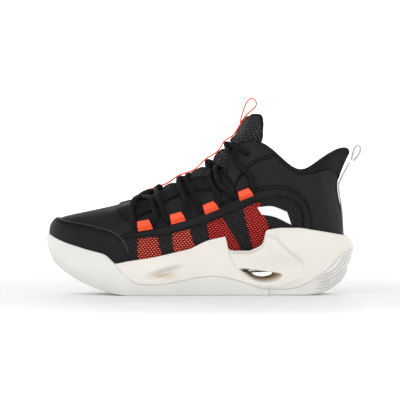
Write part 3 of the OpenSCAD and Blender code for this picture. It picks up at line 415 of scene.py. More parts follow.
# ---------------------------------------------------------------- materials
class Shader:
    """A node material: add() makes a node, link values or sockets by name."""

    def __init__(self, name, rough, specular):
        self.mat = bpy.data.materials.new(name)
        self.mat.use_nodes = True
        self.tree = self.mat.node_tree
        self.bsdf = self.tree.nodes["Principled BSDF"]
        self.bsdf.inputs["Roughness"].default_value = rough
        self.bsdf.inputs["Specular IOR Level"].default_value = specular
        self.object = self.add("ShaderNodeTexCoord").outputs["Object"]
        self.uv = self.add("ShaderNodeUVMap", uv_map="UVMap").outputs["UV"]

    def add(self, kind, inputs=(), **settings):
        node = self.tree.nodes.new(kind)
        for key, value in settings.items():
            setattr(node, key, value)
        for key, value in dict(inputs).items():
            self.put(node.inputs[key], value)
        return node

    def put(self, socket, value):
        if isinstance(value, bpy.types.NodeSocket):
            self.tree.links.new(value, socket)
        else:
            socket.default_value = value

    def math(self, op, *values):
        node = self.add("ShaderNodeMath", operation=op)
        for socket, value in zip(node.inputs, values):
            self.put(socket, value)
        return node.outputs[0]

    def turned(self, vector, angle, scale=1):
        return self.add("ShaderNodeMapping", {"Vector": vector, "Scale": (scale,) * 3,
                                              "Rotation": (0, 0, angle)}).outputs[0]

    def noise(self, scale, detail):
        return self.add("ShaderNodeTexNoise", {"Vector": self.object, "Scale": scale,
                                               "Detail": detail}).outputs["Fac"]

    def bands(self, vector, along, scale, distortion, detail):
        return self.add("ShaderNodeTexWave", {"Vector": vector, "Scale": scale, "Distortion": distortion,
                                              "Detail": detail},
                        wave_type="BANDS", bands_direction=along).outputs["Fac"]

    def split(self, vector):
        return self.add("ShaderNodeSeparateXYZ", {0: vector}).outputs

    def ramp(self, fac, stops):
        node = self.add("ShaderNodeValToRGB", {"Fac": fac})
        ramp = node.color_ramp
        while len(ramp.elements) < len(stops):
            ramp.elements.new(0.5)
        for element, (pos, color) in zip(ramp.elements, stops):
            element.position = pos
            element.color = (*color, 1)
        return node.outputs["Color"]

    def bumps(self, *layers):
        """Each layer is (height socket, distance in mm, strength)."""
        normal = None
        for height, distance, strength in layers:
            node = self.add("ShaderNodeBump", {"Height": height, "Distance": distance * MM,
                                               "Strength": strength})
            if normal:
                self.put(node.inputs["Normal"], normal)
            normal = node.outputs[0]
        self.put(self.bsdf.inputs["Normal"], normal)
        return self.mat

    def color(self, value):
        self.put(self.bsdf.inputs["Base Color"], value)

    def rough(self, value):
        self.put(self.bsdf.inputs["Roughness"], value)


def leather(name, dark, light, rough=0.5, grain=900):
    s = Shader(name, rough, specular=0.08)
    s.color(s.ramp(s.noise(55, 4), [(0.3, dark), (0.75, light)]))
    cells = s.add("ShaderNodeTexVoronoi", {"Vector": s.object, "Scale": grain},
                  feature="SMOOTH_F1").outputs["Distance"]
    s.rough(s.math("ADD", rough - 0.06, s.math("MULTIPLY", s.noise(130, 4), 0.14)))
    return s.bumps((s.noise(24, 2), 0.5, 0.35), (cells, 0.14, 0.5), (s.noise(3200, 2), 0.03, 0.5))


def moulded(name, dark, light, rough, grain=0.06):
    s = Shader(name, rough, specular=0.4)
    s.color(s.ramp(s.noise(30, 3), [(0.3, dark), (0.7, light)]))
    s.rough(s.math("ADD", rough - 0.06, s.math("MULTIPLY", s.noise(220, 3), 0.12)))
    return s.bumps((s.noise(2600, 3), grain, 0.4), (s.noise(70, 2), 0.25, 0.25))


def paint_recess_shade(material, middle, half, wall, shade_colour, fade=(4, 3)):
    """Paints shade into the foam's colour round a recess in the shoe; wall is how far from the middle plane
    it reaches.
    """
    tree = material.node_tree
    s = Shader.__new__(Shader)
    s.mat, s.tree, s.bsdf = material, tree, tree.nodes["Principled BSDF"]
    parts = s.add("ShaderNodeSeparateXYZ", {0: s.add("ShaderNodeTexCoord").outputs["Object"]}).outputs
    fades = []
    limits = [("X", middle[0], half[0], half[0] + fade[0]), ("Z", middle[1], half[1], half[1] + fade[1]),
              ("Y", 0, wall - 6, wall + 1)]
    for axis, centre_at, inner, outer in limits:
        away_from = s.math("ABSOLUTE", s.math("SUBTRACT", parts[axis], centre_at * MM))
        fades.append(s.add("ShaderNodeMapRange", {"Value": away_from, "From Min": outer * MM,
                                                  "From Max": inner * MM},
                           interpolation_type="SMOOTHSTEP").outputs[0])
    fac = s.math("MULTIPLY", s.math("MULTIPLY", fades[0], fades[1]), fades[2])
    base = s.bsdf.inputs["Base Color"].links[0].from_socket
    node = s.add("ShaderNodeMix", {"Factor": fac}, data_type="RGBA")
    s.put(node.inputs["A"], base)
    s.put(node.inputs["B"], (*shade_colour, 1))
    s.color(node.outputs["Result"])


def mesh_cloth(name, ground, thread, bright, turn=0.12, cell=(0.31, 0.155), gap=0.03):
    """Staggered oval cells in side view: a dark ground, the cell's rim colour and its bright middle."""
    s = Shader(name, 0.75, specular=0.15)
    parts = s.split(s.object)
    both = s.add("ShaderNodeCombineXYZ", {"X": parts["X"], "Y": parts["Z"]}).outputs[0]
    parts = s.split(s.turned(both, turn, 100))
    across = s.math("DIVIDE", parts["X"], cell[0])
    up = s.math("DIVIDE", parts["Y"], cell[1])
    odd = s.math("MULTIPLY", s.math("FLOORED_MODULO", s.math("FLOOR", up), 2.0), 0.5)
    along = s.math("ABSOLUTE", s.math("SUBTRACT", s.math("FRACT", s.math("ADD", across, odd)), 0.5))
    above = s.math("ABSOLUTE", s.math("SUBTRACT", s.math("FRACT", up), 0.5))
    oval = s.math("ADD", s.math("POWER", s.math("MULTIPLY", along, 2.0 / (1 - gap)), 2.6),
                  s.math("POWER", s.math("MULTIPLY", above, 2.0 / (1 - 2 * gap)), 2.2))
    mask = s.math("SUBTRACT", 1.0, s.math("MINIMUM", oval, 1.0))
    uneven = s.math("MULTIPLY", mask, s.math("ADD", 0.75, s.math("MULTIPLY", s.noise(420, 2), 0.5)))
    s.color(s.ramp(uneven, [(0.14, ground), (0.46, thread), (0.9, bright)]))
    return s.bumps((mask, 0.45, 0.9), (s.noise(2400, 2), 0.08, 0.5))


def woven(name, dark, light, rough, rib=2.2):
    """Webbing on a UV in centimetres: fine ribs across with threads along."""
    s = Shader(name, rough, specular=0.2)
    ribs, threads = s.bands(s.uv, "Y", rib, 0.4, 1.0), s.bands(s.uv, "X", rib * 1.6, 0.3, 1.0)
    weave = s.math("MULTIPLY", ribs, s.math("ADD", 0.55, s.math("MULTIPLY", threads, 0.45)))
    s.color(s.ramp(s.math("ADD", s.math("MULTIPLY", weave, 0.5), s.math("MULTIPLY", s.noise(300, 3), 0.3)),
                   [(0.1, dark), (0.55, light)]))
    return s.bumps((weave, 0.12, 0.7))


def cord_braid(name, dark, light):
    """Diagonal plaits on a tube's UV in centimetres."""
    s = Shader(name, 0.65, specular=0.12)
    plait = s.math("MAXIMUM", *(s.bands(s.turned(s.uv, turn), "Y", 2.6, 0.2, 2.0) for turn in (0.75, -0.75)))
    s.color(s.ramp(plait, [(0.2, dark), (0.95, light)]))
    return s.bumps((plait, 0.35, 0.8), (s.noise(3000, 2), 0.05, 0.4))


def tongue_cloth(name):
    """Embossed mesh: long raised ovals in staggered rows, on a UV in centimetres; the ovals are coloured
    lighter as a painted highlight.
    """
    s = Shader(name, 0.6, specular=0.25)
    brick = s.add("ShaderNodeTexBrick", {"Vector": s.turned(s.uv, 1.15), "Scale": 1.0, "Mortar Size": 0.1,
                                         "Mortar Smooth": 0.9, "Bias": 0.0, "Brick Width": 0.5,
                                         "Row Height": 0.25})
    mask = s.math("SUBTRACT", 1.0, brick.outputs["Fac"])
    # painted highlight: the raised ovals are coloured lighter grey than the black between them
    s.color(s.ramp(mask, [(0.5, (0.001, 0.001, 0.001)), (1.0, (0.05, 0.05, 0.052))]))
    return s.bumps((mask, 0.9, 1.0), (s.noise(2600, 2), 0.08, 0.6))


BLACK = leather("fine_leather", (0.011, 0.0115, 0.0125), (0.0155, 0.016, 0.0175), 0.5)
OVERLAY = leather("overlay_leather", (0.0085, 0.0088, 0.0095), (0.0125, 0.013, 0.014), 0.52)
RUBBER = moulded("outsole_rubber", (0.625, 0.62, 0.60), (0.665, 0.66, 0.64), 0.5)
FOAM = moulded("midsole_foam", (0.655, 0.63, 0.58), (0.70, 0.675, 0.625), 0.55, 0.08)
BLACK_MESH = mesh_cloth("black_mesh", (0.001, 0.001, 0.001), (0.004, 0.004, 0.0045), (0.036, 0.037, 0.04),
                        -0.5, (0.34, 0.17))
RED_MESH = mesh_cloth("red_mesh", (0.012, 0.0, 0.0), (0.24, 0.002, 0.003), (1.0, 0.17, 0.11), 0.1,
                      (0.33, 0.185), 0.1)
RED_MESH_REAR = mesh_cloth("red_mesh_rear", (0.012, 0.0, 0.0), (0.24, 0.002, 0.003), (0.85, 0.065, 0.05),
                           0.15, (0.33, 0.185), 0.1)
ORANGE = woven("orange_webbing", (0.78, 0.055, 0.02), (1.0, 0.13, 0.055), 0.6)
WHITE_WEB = woven("white_webbing", (0.34, 0.34, 0.335), (0.52, 0.52, 0.515), 0.7)
LACE = cord_braid("lace_cord", (0.001, 0.001, 0.001), (0.008, 0.008, 0.008))
BINDING = woven("binding_cloth", (0.001, 0.001, 0.001), (0.006, 0.006, 0.006), 0.75, 1.4)
TONGUE_CLOTH = tongue_cloth("tongue_mesh")
LINING = mesh_cloth("lining_mesh", (0.002, 0.002, 0.002), (0.006, 0.006, 0.0065), (0.012, 0.012, 0.0125), 0.0)
INSOLE_CLOTH = mesh_cloth("insole_cloth", (0.004, 0.004, 0.004), (0.012, 0.012, 0.012), (0.02, 0.02, 0.02),
                          0.0)
THREAD = leather("black_thread", (0.0006, 0.0006, 0.0006), (0.0012, 0.0012, 0.0012), 0.7, 2500)
PIPING = leather("grey_piping", (0.05, 0.05, 0.052), (0.08, 0.08, 0.082), 0.45, 2500)
FILM = moulded("badge_film", (0.80, 0.80, 0.80), (0.86, 0.86, 0.86), 0.35, 0.02)
AGLET = moulded("aglet_film", (0.004, 0.004, 0.004), (0.008, 0.008, 0.008), 0.2, 0.02)
BOARD_MAT = moulded("fibre_board", (0.42, 0.36, 0.26), (0.50, 0.43, 0.32), 0.8)

# ---------------------------------------------------------------- sole
# painted shade: a warm tan darkening of the foam inside the tunnel through the midfoot and in the forefoot
# gill, where shade falls
paint_recess_shade(FOAM, (59.5, 20.5), (19, 5), 34, (0.62, 0.47, 0.30))
paint_recess_shade(FOAM, (-34, 19.5), (2, 0.2), 60, (0.58, 0.49, 0.38), (14, 4))


def wall_inset(t, q):
    rim = curve(INSET, plan_at(t)[..., 0]) - RIM_GAP
    return np.where(q < BELLY, TREAD_INSET * np.clip(1 - q / BELLY, 0, None) ** 2,
                    rim * (np.clip(np.minimum(q, 1) - BELLY, 0, None) / (1 - BELLY)) ** 2.2)


def wall_at(t, q, depth=0.0):
    p = plan_at(t, wall_inset(t, q))
    z = mix(curve(TREAD, p[..., 0]), curve(RIM, p[..., 0]), q)
    return at_height(plan_at(t, wall_inset(t, q) + depth), z)


def share_of(line, t):
    q = np.full(np.shape(t), 0.5)
    for _ in range(6):
        x = plan_at(t, wall_inset(t, q))[..., 0]
        lo, hi = curve(TREAD, x), curve(RIM, x)
        q = np.clip((curve(line, x) - lo) / (hi - lo), 0.02, 1.08)
    return q


def to_lines(p, lines):
    """Distance of side-view points to a closed outline, positive inside it."""
    a = np.array(lines, float)
    b = np.roll(a, -1, 0)
    best = np.full(p.shape[:-1], 1e9)
    inside = np.zeros(p.shape[:-1], bool)
    for (x0, z0), (x1, z1) in zip(a, b):
        d = np.array([x1 - x0, z1 - z0])
        k = np.clip(((p[..., 0] - x0) * d[0] + (p[..., 1] - z0) * d[1]) / (d @ d), 0, 1)
        best = np.minimum(best, np.hypot(p[..., 0] - x0 - k * d[0], p[..., 1] - z0 - k * d[1]))
        crosses = (z0 > p[..., 1]) != (z1 > p[..., 1])
        at = x0 + (p[..., 1] - z0) * (x1 - x0) / (z1 - z0 + 1e-12)
        inside ^= crosses & (p[..., 0] < at)
    return np.where(inside, best, -best)


SCOOP = [(74, 58), (80, 51), (88, 44), (96, 37.5), (101, 31), (101.5, 26), (97, 20.5), (88, 16.2), (76, 13),
         (62, 12.2), (52, 14), (43, 18.6), (36, 24.5), (31, 31), (27.5, 38), (27, 47), (40, 52), (60, 60)]
HOLE = [(39, 24), (44, 24.8), (52, 24), (60, 23.2), (70, 22.2), (78, 21), (79.5, 19.4), (76.5, 17.2),
        (70.5, 15.6), (62, 14.8), (54.5, 15.8), (48, 18.4), (43, 21.6)]
HOLE_MIDDLE = np.array([56.5, 20.0])
# the tunnel's sections from the middle plane out: y, then scale of the hole's width and height, and lift
TUNNEL = [(0, 0.6, 0.78, 1.0), (22, 0.7, 0.85, 0.8), (30, 0.86, 1.05, 0.3), (36, 1.0, 1.28, 0),
          (42, 1.1, 1.45, 0), (70, 1.16, 1.6, 0)]
TUNNEL = [(-y, *rest) for y, *rest in TUNNEL[:0:-1]] + TUNNEL
GILL, GILL_HALF, GILL_TILT = (-34, 22), 19, (0.957, 0.29)  # centre, half length, cosine and sine of its slope
EDGE_CUT, SCOOP_CUT, LIP, GILL_CUT = 2.8, 5.6, 1.0, 6.4  # depths and the lip's height


def sculpt(p):
    """How deep the midsole's side is carved at [x, z]: the scoop round the tunnel and the forefoot gill."""
    d = to_lines(p, rounded(SCOOP + SCOOP[:1], 4)[:-1])
    to_hole = -to_lines(p, HOLE)
    scoop = EDGE_CUT * smooth(d / 3.5) + SCOOP_CUT * smooth(d / 20) * np.exp(-np.clip(to_hole, 0, None) / 13)
    lip = -LIP * np.exp(-((d + 2.2) / 2.4) ** 2) * smooth((p[..., 0] - 55) / 15)
    x, z = p[..., 0] - GILL[0], p[..., 1] - GILL[1]
    u = (x * GILL_TILT[0] + z * GILL_TILT[1]) / GILL_HALF
    w = z * GILL_TILT[0] - x * GILL_TILT[1]
    ends = np.clip(1 - u * u, 0, 1) ** 0.8
    gill = GILL_CUT * ends * np.exp(-np.where(w < 0, (w / 1.7) ** 2, (w / 4.0) ** 2))
    return scoop + lip + gill


sole_t = np.arange(AROUND * 22) / 22
parting, edge_q = share_of(PARTING, sole_t), share_of(MIDSOLE_EDGE, sole_t)
toe_x = plan_at(sole_t)[:, 0]
toe = smooth((-82.5 - toe_x) / 3)
rise = smooth((-83 - toe_x) / 5)
edge_q = np.maximum(parting + 0.03, edge_q)
inner_in = curve(INSET, toe_x) - 0.9


def ring_at(line, inset, lift=0.0):
    p = plan_at(sole_t, inset)
    return at_height(p, curve(line, p[:, 0]) + lift)


def carved_wall(share, depth=0.0):
    """The midsole's wall at a share between the parting line and its upper edge."""
    w = wall_at(sole_t, mix(parting, edge_q, share), 0.15 + depth)
    d = plan_at(sole_t, 1.0) - plan_at(sole_t)
    cut = sculpt(w[:, [0, 2]]) * smooth(share / 0.06) * smooth((1 - share) / 0.12) * (1 - toe)
    w[:, :2] += d * cut[:, None]
    return w


def midsole_rings():
    n = plan_at(sole_t, 1.0) - plan_at(sole_t)
    foot = plan_at(sole_t, inner_in + 3.2)
    floor_p = plan_at(sole_t, TREAD_INSET + 4.7)
    floor_z = curve(TREAD, floor_p[:, 0]) + TREAD_T
    rings = [ring_at(TREAD, INNER_RING, TREAD_T), at_height(floor_p, floor_z)]
    side = wall_at(sole_t, parting, 3.7)
    rings += [at_height(side[:, :2], mix(side[:, 2], floor_z, 0.5)), side]
    for share in np.concatenate([[0, 0.006, 0.014, 0.028, 0.06], np.linspace(0.1, 0.94, 38)]):
        ease = 0.9 * (1 - min(1, share / 0.03)) ** 2
        rings.append(carved_wall(share, ease))
    for share, depth in ((0.97, 0.05), (0.99, 0.25), (1.0, 0.7), (1.0, 1.3)):
        rings.append(carved_wall(share, depth))
    top = rings[-1][:, 2]
    room = plan_at(sole_t, inner_in)
    rings += [at_height(room, top - 0.8),
              at_height(plan_at(sole_t, inner_in + 2.6), mix(curve(BOARD, room[:, 0]), top, 0.3)),
              at_height(foot, curve(BOARD, foot[:, 0]) - 1.6), ring_at(BOARD, BOARD_RING, -1.6)]
    low = plan_at(sole_t, curve(INSET, toe_x) + 4.5)
    flat_low = at_height(low, curve(BOARD, low[:, 0]) - 1.9)
    for k in range(2, len(rings) - 1):
        r = rings[k]
        r[:, :2] = mix(r[:, :2], flat_low[:, :2] + n * 0.02 * k, toe[:, None])
        r[:, 2] = mix(r[:, 2], flat_low[:, 2] + 0.01 * k, rise)
    return rings


def hole_cutter():
    outline = resample(rounded(HOLE + HOLE[:1], 6), 60)[:-1]
    rings = []
    for y, wide, tall, lift in TUNNEL:
        p = HOLE_MIDDLE + (outline - HOLE_MIDDLE) * [wide, tall] + [0, lift]
        rings.append(np.stack([p[:, 0], np.full(len(p), y), p[:, 1]], -1))
    faces = [tuple(f) for f in grid_faces(len(rings), len(outline), True)]
    faces += [tuple(range(len(outline))),
              tuple(range((len(rings) - 1) * len(outline), len(rings) * len(outline)))]
    return outwards(make("hole_cutter", np.concatenate(rings), faces, FOAM))


def cut(target, cutter):
    """Subtracts cutter from target for good."""
    m = target.modifiers.new("cut", "BOOLEAN")
    m.operation, m.solver, m.object = "DIFFERENCE", "EXACT", cutter
    depsgraph = bpy.context.evaluated_depsgraph_get()
    mesh = bpy.data.meshes.new_from_object(target.evaluated_get(depsgraph))
    target.modifiers.clear()
    target.data = mesh
    bpy.data.objects.remove(cutter)


midsole = stack("midsole_body", midsole_rings(), FOAM)
cut(midsole, hole_cutter())
shade_smooth(midsole)
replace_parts(midsole, "midsole")


GROOVE_CENTRE, GROOVE_START, GROOVE_PITCH, GROOVE_DEPTH = (110, 51), 31.5, 3.1, 1.7
TEETH_FROM, TOOTH_PITCH, TOOTH_H = 66, 3.9, 0.9
PARTING_FOOT, PARTING_TOP = 69, 64  # where the two rubber pieces meet, at the ground and above it


def heel_grooves(p, q):
    """Curved grooves that wrap the heel rubber."""
    x, z = p[:, 0], p[:, 2]
    across = np.hypot(x - GROOVE_CENTRE[0], z - GROOVE_CENTRE[1])
    wave = 0.5 - 0.5 * np.cos((across - GROOVE_START) / GROOVE_PITCH * 2 * np.pi)
    zone = smooth((x - 108) / 14) * smooth((across - 31) / 2) * smooth((0.94 - q) / 0.1)
    return GROOVE_DEPTH * np.clip(wave * 1.7 - 0.5, 0, 1) * zone


def ground_teeth(x, q):
    """Small notches of the heel's tread along the ground line."""
    teeth = np.clip(1.6 * np.abs(((x - TEETH_FROM) / TOOTH_PITCH) % 1 - 0.5) * 2 - 0.7, 0, 1)
    return TOOTH_H * teeth * smooth((x - 68) / 4) * smooth((0.3 - q) / 0.3)


def outsole_rings():
    top = wall_at(sole_t, parting)
    n = plan_at(sole_t, 1.0) - plan_at(sole_t)
    rings = [ring_at(TREAD, INNER_RING), ring_at(TREAD, TREAD_INSET + 3), ring_at(TREAD, TREAD_INSET + 1.2)]
    for q in np.concatenate([[0.012, 0.03, 0.06], np.linspace(0.1, 0.95, 44)]):
        w = wall_at(sole_t, np.maximum(0.01, parting * q))
        w[:, :2] += n * heel_grooves(w, q)[:, None]
        w[:, 2] += ground_teeth(w[:, 0], q)
        rings.append(w)
    for share, depth in ((0.985, 0.12), (1, 0.5), (1, 1.1)):
        rings.append(wall_at(sole_t, parting * share, depth))
    side = wall_at(sole_t, parting, 3.2)
    bumper = plan_at(sole_t, inner_in - 0.6)
    rings.append(at_height(mix(side[:, :2], bumper, toe[:, None]), top[:, 2] - 0.3 * toe))
    low = plan_at(sole_t, mix(TREAD_INSET + 4.2, inner_in + 2.6, toe))
    floor_z = mix(curve(TREAD, low[:, 0]) + 4.0, curve(BOARD, low[:, 0]) - 0.3, rise)
    rings.append(at_height(mix(side[:, :2], low, 0.4), mix(top[:, 2], floor_z, 0.6)))
    rings.append(at_height(low, floor_z))
    rings.append(ring_at(TREAD, INNER_RING, 4.0))
    return rings


def split(rings, name, front):
    """One of the two rubber pieces, cut at the line where they part."""
    obj = stack(name, rings, RUBBER)
    gap, far = (0, 200) if front else (0.5, -200)
    x = [PARTING_FOOT + gap] * 2 + [PARTING_TOP + gap] * 2 + [far] * 2
    z = [-20, 0, 8, 90, 90, -20]
    faces = [tuple(range(6)), tuple(range(6, 12))] + [(i, (i + 1) % 6, (i + 1) % 6 + 6, i + 6)
                                                      for i in range(6)]
    points = [(a, y, b) for y in (-120, 120) for a, b in zip(x, z)]
    cut(obj, outwards(make("side_cutter", points, faces, RUBBER)))
    shade_smooth(obj)
    return obj


rubber_rings = outsole_rings()
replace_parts(split(rubber_rings, "outsole_front", True), "outsole_forefoot")
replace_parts(split(rubber_rings, "outsole_back", False), "outsole_heel")

# ---------------------------------------------------------------- upper: seams in side view, as in the CAD
WINDOW_TOP = [(-76, 57), (-60, 58.5), (-40, 61.5), (-20, 67), (0, 73.5), (20, 81), (40, 90.5), (60, 98),
              (78, 100), (92, 96.5), (101, 88), (105, 76), (105.5, 62), (105.5, 42)]
VAMP_LOW = [(-78, 48), (-76, 58.2), (-60, 59.8), (-40, 62.8), (-20, 68.3), (0, 74.8), (20, 82.3), (38, 91.2)]
QUARTER_LOW = [(40, 92), (60, 99.3), (78, 101.3), (93, 97.6), (102.4, 88.6), (106.4, 76), (106.8, 62),
               (106.8, 40), (118, 36), (134, 36)]
QUARTER_TOP = [(36.5, 99), (35, 106), (42, 117.5), (48, 124), (56, 129), (66, 132.4), (76, 133), (86, 122.5),
               (96, 117.8), (106, 117), (117, 120)]
PATCH_LOW = [(33.5, 106.5), (41, 118.6), (47, 125.3), (55.5, 130.4), (66, 133.8), (73, 135)]
PATCH_TOP = [(27.5, 117.5), (30, 135), (36, 146), (49, 148.6), (62, 145), (72, 137)]
CAP_EDGE = [(-132, 70.8), (-120, 69), (-110, 67.5), (-100, 65.5), (-90, 63), (-82, 60), (-77, 56),
            (-72.5, 50), (-70, 44), (-68.6, 39), (-68, 36)]
BAND_LOW = [(-72, 54.5), (-50, 56.5), (-30, 59.5), (-10, 65.2), (10, 71.5), (30, 79.5), (50, 88.7),
            (62, 92.8), (74, 94.8), (84, 93.8), (93, 89.5), (98.5, 82), (100.5, 73), (100.5, 62)]
BAND_TOP = [(-73, 60.5), (-50, 63.8), (-30, 68.8), (-10, 75.5), (10, 83.3), (30, 92.3), (50, 100.4),
            (62, 104), (76, 105.2), (88, 102.5), (98, 96), (105, 86), (108, 74), (108.4, 61)]
EYESTAY_LOW = [(-80, 80), (-77.5, 75.4), (-71, 72.6), (-60, 75.5), (-46, 82), (-32, 90.8), (-20, 96.5),
               (-6, 100.6), (10, 101), (26, 98.4), (34, 97.5)]
STRIPES = [
    [[(-59.5, 56), (-58.5, 30)], [(-41, 57), (-33, 32)]],
    [[(-26.5, 60.5), (-22.5, 34)], [(-10, 64.5), (0, 38)]],
    [[(7, 70), (14, 40)], [(22, 76), (42, 40)]],
    [[(42, 84.5), (52, 42)], [(58, 91), (72, 52)]],
]
BADGE = [[(60, 78.5), (73, 76), (88.5, 68.5)], [(55.5, 85.5), (70, 86.4), (84.5, 81)]]
HEM, BROW, CAP_RIDGE = 0.3, 3.97, 2.06
LEATHER_T = 1.7


def row(t, v):
    return np.stack(np.broadcast_arrays(np.asarray(t, float), np.asarray(v, float)), -1)


edge_n = 150
vamp_low = np.concatenate([row(np.linspace(0, 3.3, 60), HEM), seam(VAMP_LOW, 90)])
vamp_high = np.concatenate([row(np.linspace(0, 5.1, 125), BROW),
                            seam([(24, 114), (31, 106), (34.5, 100), (36.5, 96)], 25)])
vamp = panel("vamp_leather", mirror_edge(vamp_low), mirror_edge(vamp_high), -1.2, 0, 64, BLACK,
             "upper_leather", 0.22)
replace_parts(vamp, "vamp")

cap_low = row(np.linspace(0, 3.55, 90), HEM)
cap_high = np.concatenate([row(np.linspace(0, 0.95, 22), CAP_RIDGE), seam(CAP_EDGE, 68)])
cap = panel("toe_cap_leather", mirror_edge(cap_low), mirror_edge(cap_high), 0.02, LEATHER_T, 30, OVERLAY,
            "overlay_leather", 0.12)
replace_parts(cap, "toe_cap")

stay_low = np.concatenate([rounded([(0, 3.76), (0.6, 3.7), (1.15, 3.58), (1.6, 3.4), (1.95, 3.2)], 6)[:-1],
                           seam(EYESTAY_LOW, 115)])
stay_high = np.concatenate([row(np.linspace(0, 5.15, len(stay_low) - 20), BROW),
                            seam([(26, 112), (31.5, 105.5), (35, 99)], 20)])
stay = panel("eyestay_leather", mirror_edge(stay_low), mirror_edge(stay_high), 0.02, LEATHER_T, 24, OVERLAY,
             "overlay_leather", 0.15)
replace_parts(stay, "eyestay")

for side in ("lateral", "medial"):
    place = lambda tv: on_side(tv, side)
    window_top = seam(WINDOW_TOP, edge_n) + [0, 0.06]
    window = panel(f"mesh_{side}", place(row(np.linspace(3.5, 10.12, edge_n), HEM)), place(window_top),
                   -1.2, -0.15, 50, BLACK_MESH, "black_mesh")
    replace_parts(window, f"mesh_window_{side}")
    for k, (front, back) in enumerate(STRIPES):
        low, high = seam([front[1], back[1]], 20), seam([front[0], back[0]], 20)
        stripe = panel(f"red_stripe_{side}_{k + 1}", place(low), place(high), -0.3, 0.05, 40,
                       RED_MESH if k < 2 else RED_MESH_REAR, "red_mesh", bevel=0.1)
        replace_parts(stripe, f"mesh_stripes_{side}")
    band = panel(f"window_band_{side}_leather", place(seam(BAND_LOW, edge_n)),
                 place(seam(BAND_TOP, edge_n)), -0.1, LEATHER_T, 12, OVERLAY, "overlay_leather")
    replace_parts(band, f"window_band_{side}")
    q_low = np.concatenate([seam(QUARTER_LOW, 150), row([12.4, 12.7, 13], HEM)])
    q_high = np.concatenate([seam(QUARTER_TOP, 148), row([11.9, 12.2, 12.4, 12.7, 13],
                                                         [3.55, 3.42, 3.35, 3.29, 3.25])])
    quarter = panel(f"quarter_{side}_leather", place(q_low), place(q_high), -1.2, 0, 60, BLACK,
                    "upper_leather", 0.18)
    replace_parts(quarter, f"quarter_{side}")
    patch = panel(f"ankle_patch_{side}_leather", place(seam(PATCH_LOW, 60)), place(seam(PATCH_TOP, 60)),
                  -1.2, 0.5, 30, BLACK, "upper_leather", 0.12)
    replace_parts(patch, f"ankle_patch_{side}")

tab_low = [(10.5, 3.93), (10.9, 3.8), (11.3, 3.66), (11.7, 3.52), (12.1, 3.38), (12.5, 3.24), (13, 3.16)]
tab_low = resample(rounded(tab_low, 4), 30)
tab_high = row(np.linspace(10.5, 13, 30), BROW)
over_heel = lambda e: np.concatenate([e, [(AROUND - t, v) for t, v in e[-2::-1]]])
tab = panel("heel_tab_leather", over_heel(tab_low), over_heel(tab_high), -1.2, 0.6, 14, OVERLAY,
            "overlay_leather")
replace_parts(tab, "heel_tab")


# ---------------------------------------------------------------- lining, collar, insole
def half_way(t):
    return np.where(t > LAST, AROUND - t, t)


def behind_foam(t, v):
    return smooth((v - 1.9) / 0.7) * smooth((half_way(t) - 7) / 0.65)


lining_t = np.arange(AROUND * 8) / 8
lining_v = np.concatenate([np.linspace(0.04, 3.6, 40), np.linspace(3.66, 3.99, 9)])
tt, vv = np.meshgrid(lining_t, lining_v)
roll = np.sqrt(np.clip(1 - ((vv - 3.55) / 0.46).clip(0, 1) ** 2, 0, 1))
inner_off = mix(-4.2, -9.6, behind_foam(tt, vv)) * mix(0.35, 1, roll)
lining = sheet("lining_cloth", skin(tt, vv, np.full(tt.shape, -1.25)), skin(tt, vv, inner_off), LINING,
               "lining_mesh", closed=True, bevel=0)
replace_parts(lining, "lining", "collar_foam", "toe_puff", "heel_counter")


ts = np.linspace(6.3, AROUND - 6.3, 260)
roll_r = curve([(6, 1.3), (7.2, 1.6), (8.4, 2.4), (10.4, 2.9), (11.6, 3.6), (12.4, 4.4), (13, 4.6)],
               half_way(ts))
rim_up = unit(skin_on(ts, 4.0) - skin_on(ts, 3.7))
rim = skin(ts, 3.97, 0.75 - roll_r) + rim_up * (0.25 * roll_r)[:, None]
collar = tube("collar_binding_cloth", rim, roll_r, BINDING, 20, rim_up)
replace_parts(collar, "collar_binding")


def insole_grids():
    """Upper and lower face of the footbed, which lies in the shoe with its edges turned up."""
    t = np.concatenate([np.linspace(0, 0.6, 10)[1:], np.linspace(0.7, 12.3, 90),
                        np.linspace(12.4, 13, 10)[:-1]])
    lateral, medial = [plan_at(w, curve(INSET, plan_at(w)[..., 0]) + FEATHER_STEP + 5.5) for w in (t, -t)]
    k = np.linspace(0, 1, 28)[:, None, None]
    p = mix(lateral[None], medial[None], k)
    low = curve(BOARD, p[..., 0]) + 1.8
    return at_height(p, low + 4.0 + 1.8 * np.exp(-np.minimum(k, 1 - k)[..., 0] / 0.07)), at_height(p, low)


insole = sheet("insole_pad", *insole_grids(), INSOLE_CLOTH, "insole_cloth", body="insole", bevel=1.2)
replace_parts(insole, "insole")

# ---------------------------------------------------------------- tongue
TONGUE = [
    [(-70, 84.4), (-68, 11, 83), (-63, 20, 78.5)],
    [(-48, 94.6), (-44, 12, 92.6), (-36, 21, 87)],
    [(-24, 107.4), (-19, 12, 103.5), (-9, 21, 95)],
    [(-1.8, 118.8), (4, 12.5, 113), (16, 21, 101)],
    [(15.2, 134.2), (22, 13.5, 125), (34, 19.5, 112)],
    [(30, 148.4), (36, 15.5, 139.5), (48, 19, 131)],
    [(34.6, 156), (42, 18.5, 152), (63, 22, 150)],
    [(41, 165.3), (46.5, 18.5, 164), (60.5, 22, 162.5)],
    [(48, 175.2), (51.5, 14.5, 175.8), (58.5, 17, 175)],
]
rows_ = np.array([[(e[0], -e[1], e[2]), (s[0], -s[1], s[2]), (c[0], 0, c[1]), s, e] for c, s, e in TONGUE],
                 float)


def open_at(p, t):
    """Uniform cubic B-spline over the first axis of p, ends extended straight."""
    q = np.concatenate([[2 * p[0] - p[1]], p, [2 * p[-1] - p[-2]]])
    i = np.clip(np.floor(t).astype(int), 0, len(p) - 2)
    b = basis(t - i)
    return sum(b[j].reshape(b[j].shape + (1,) * (p.ndim - 1)) * q[i + j] for j in range(4))


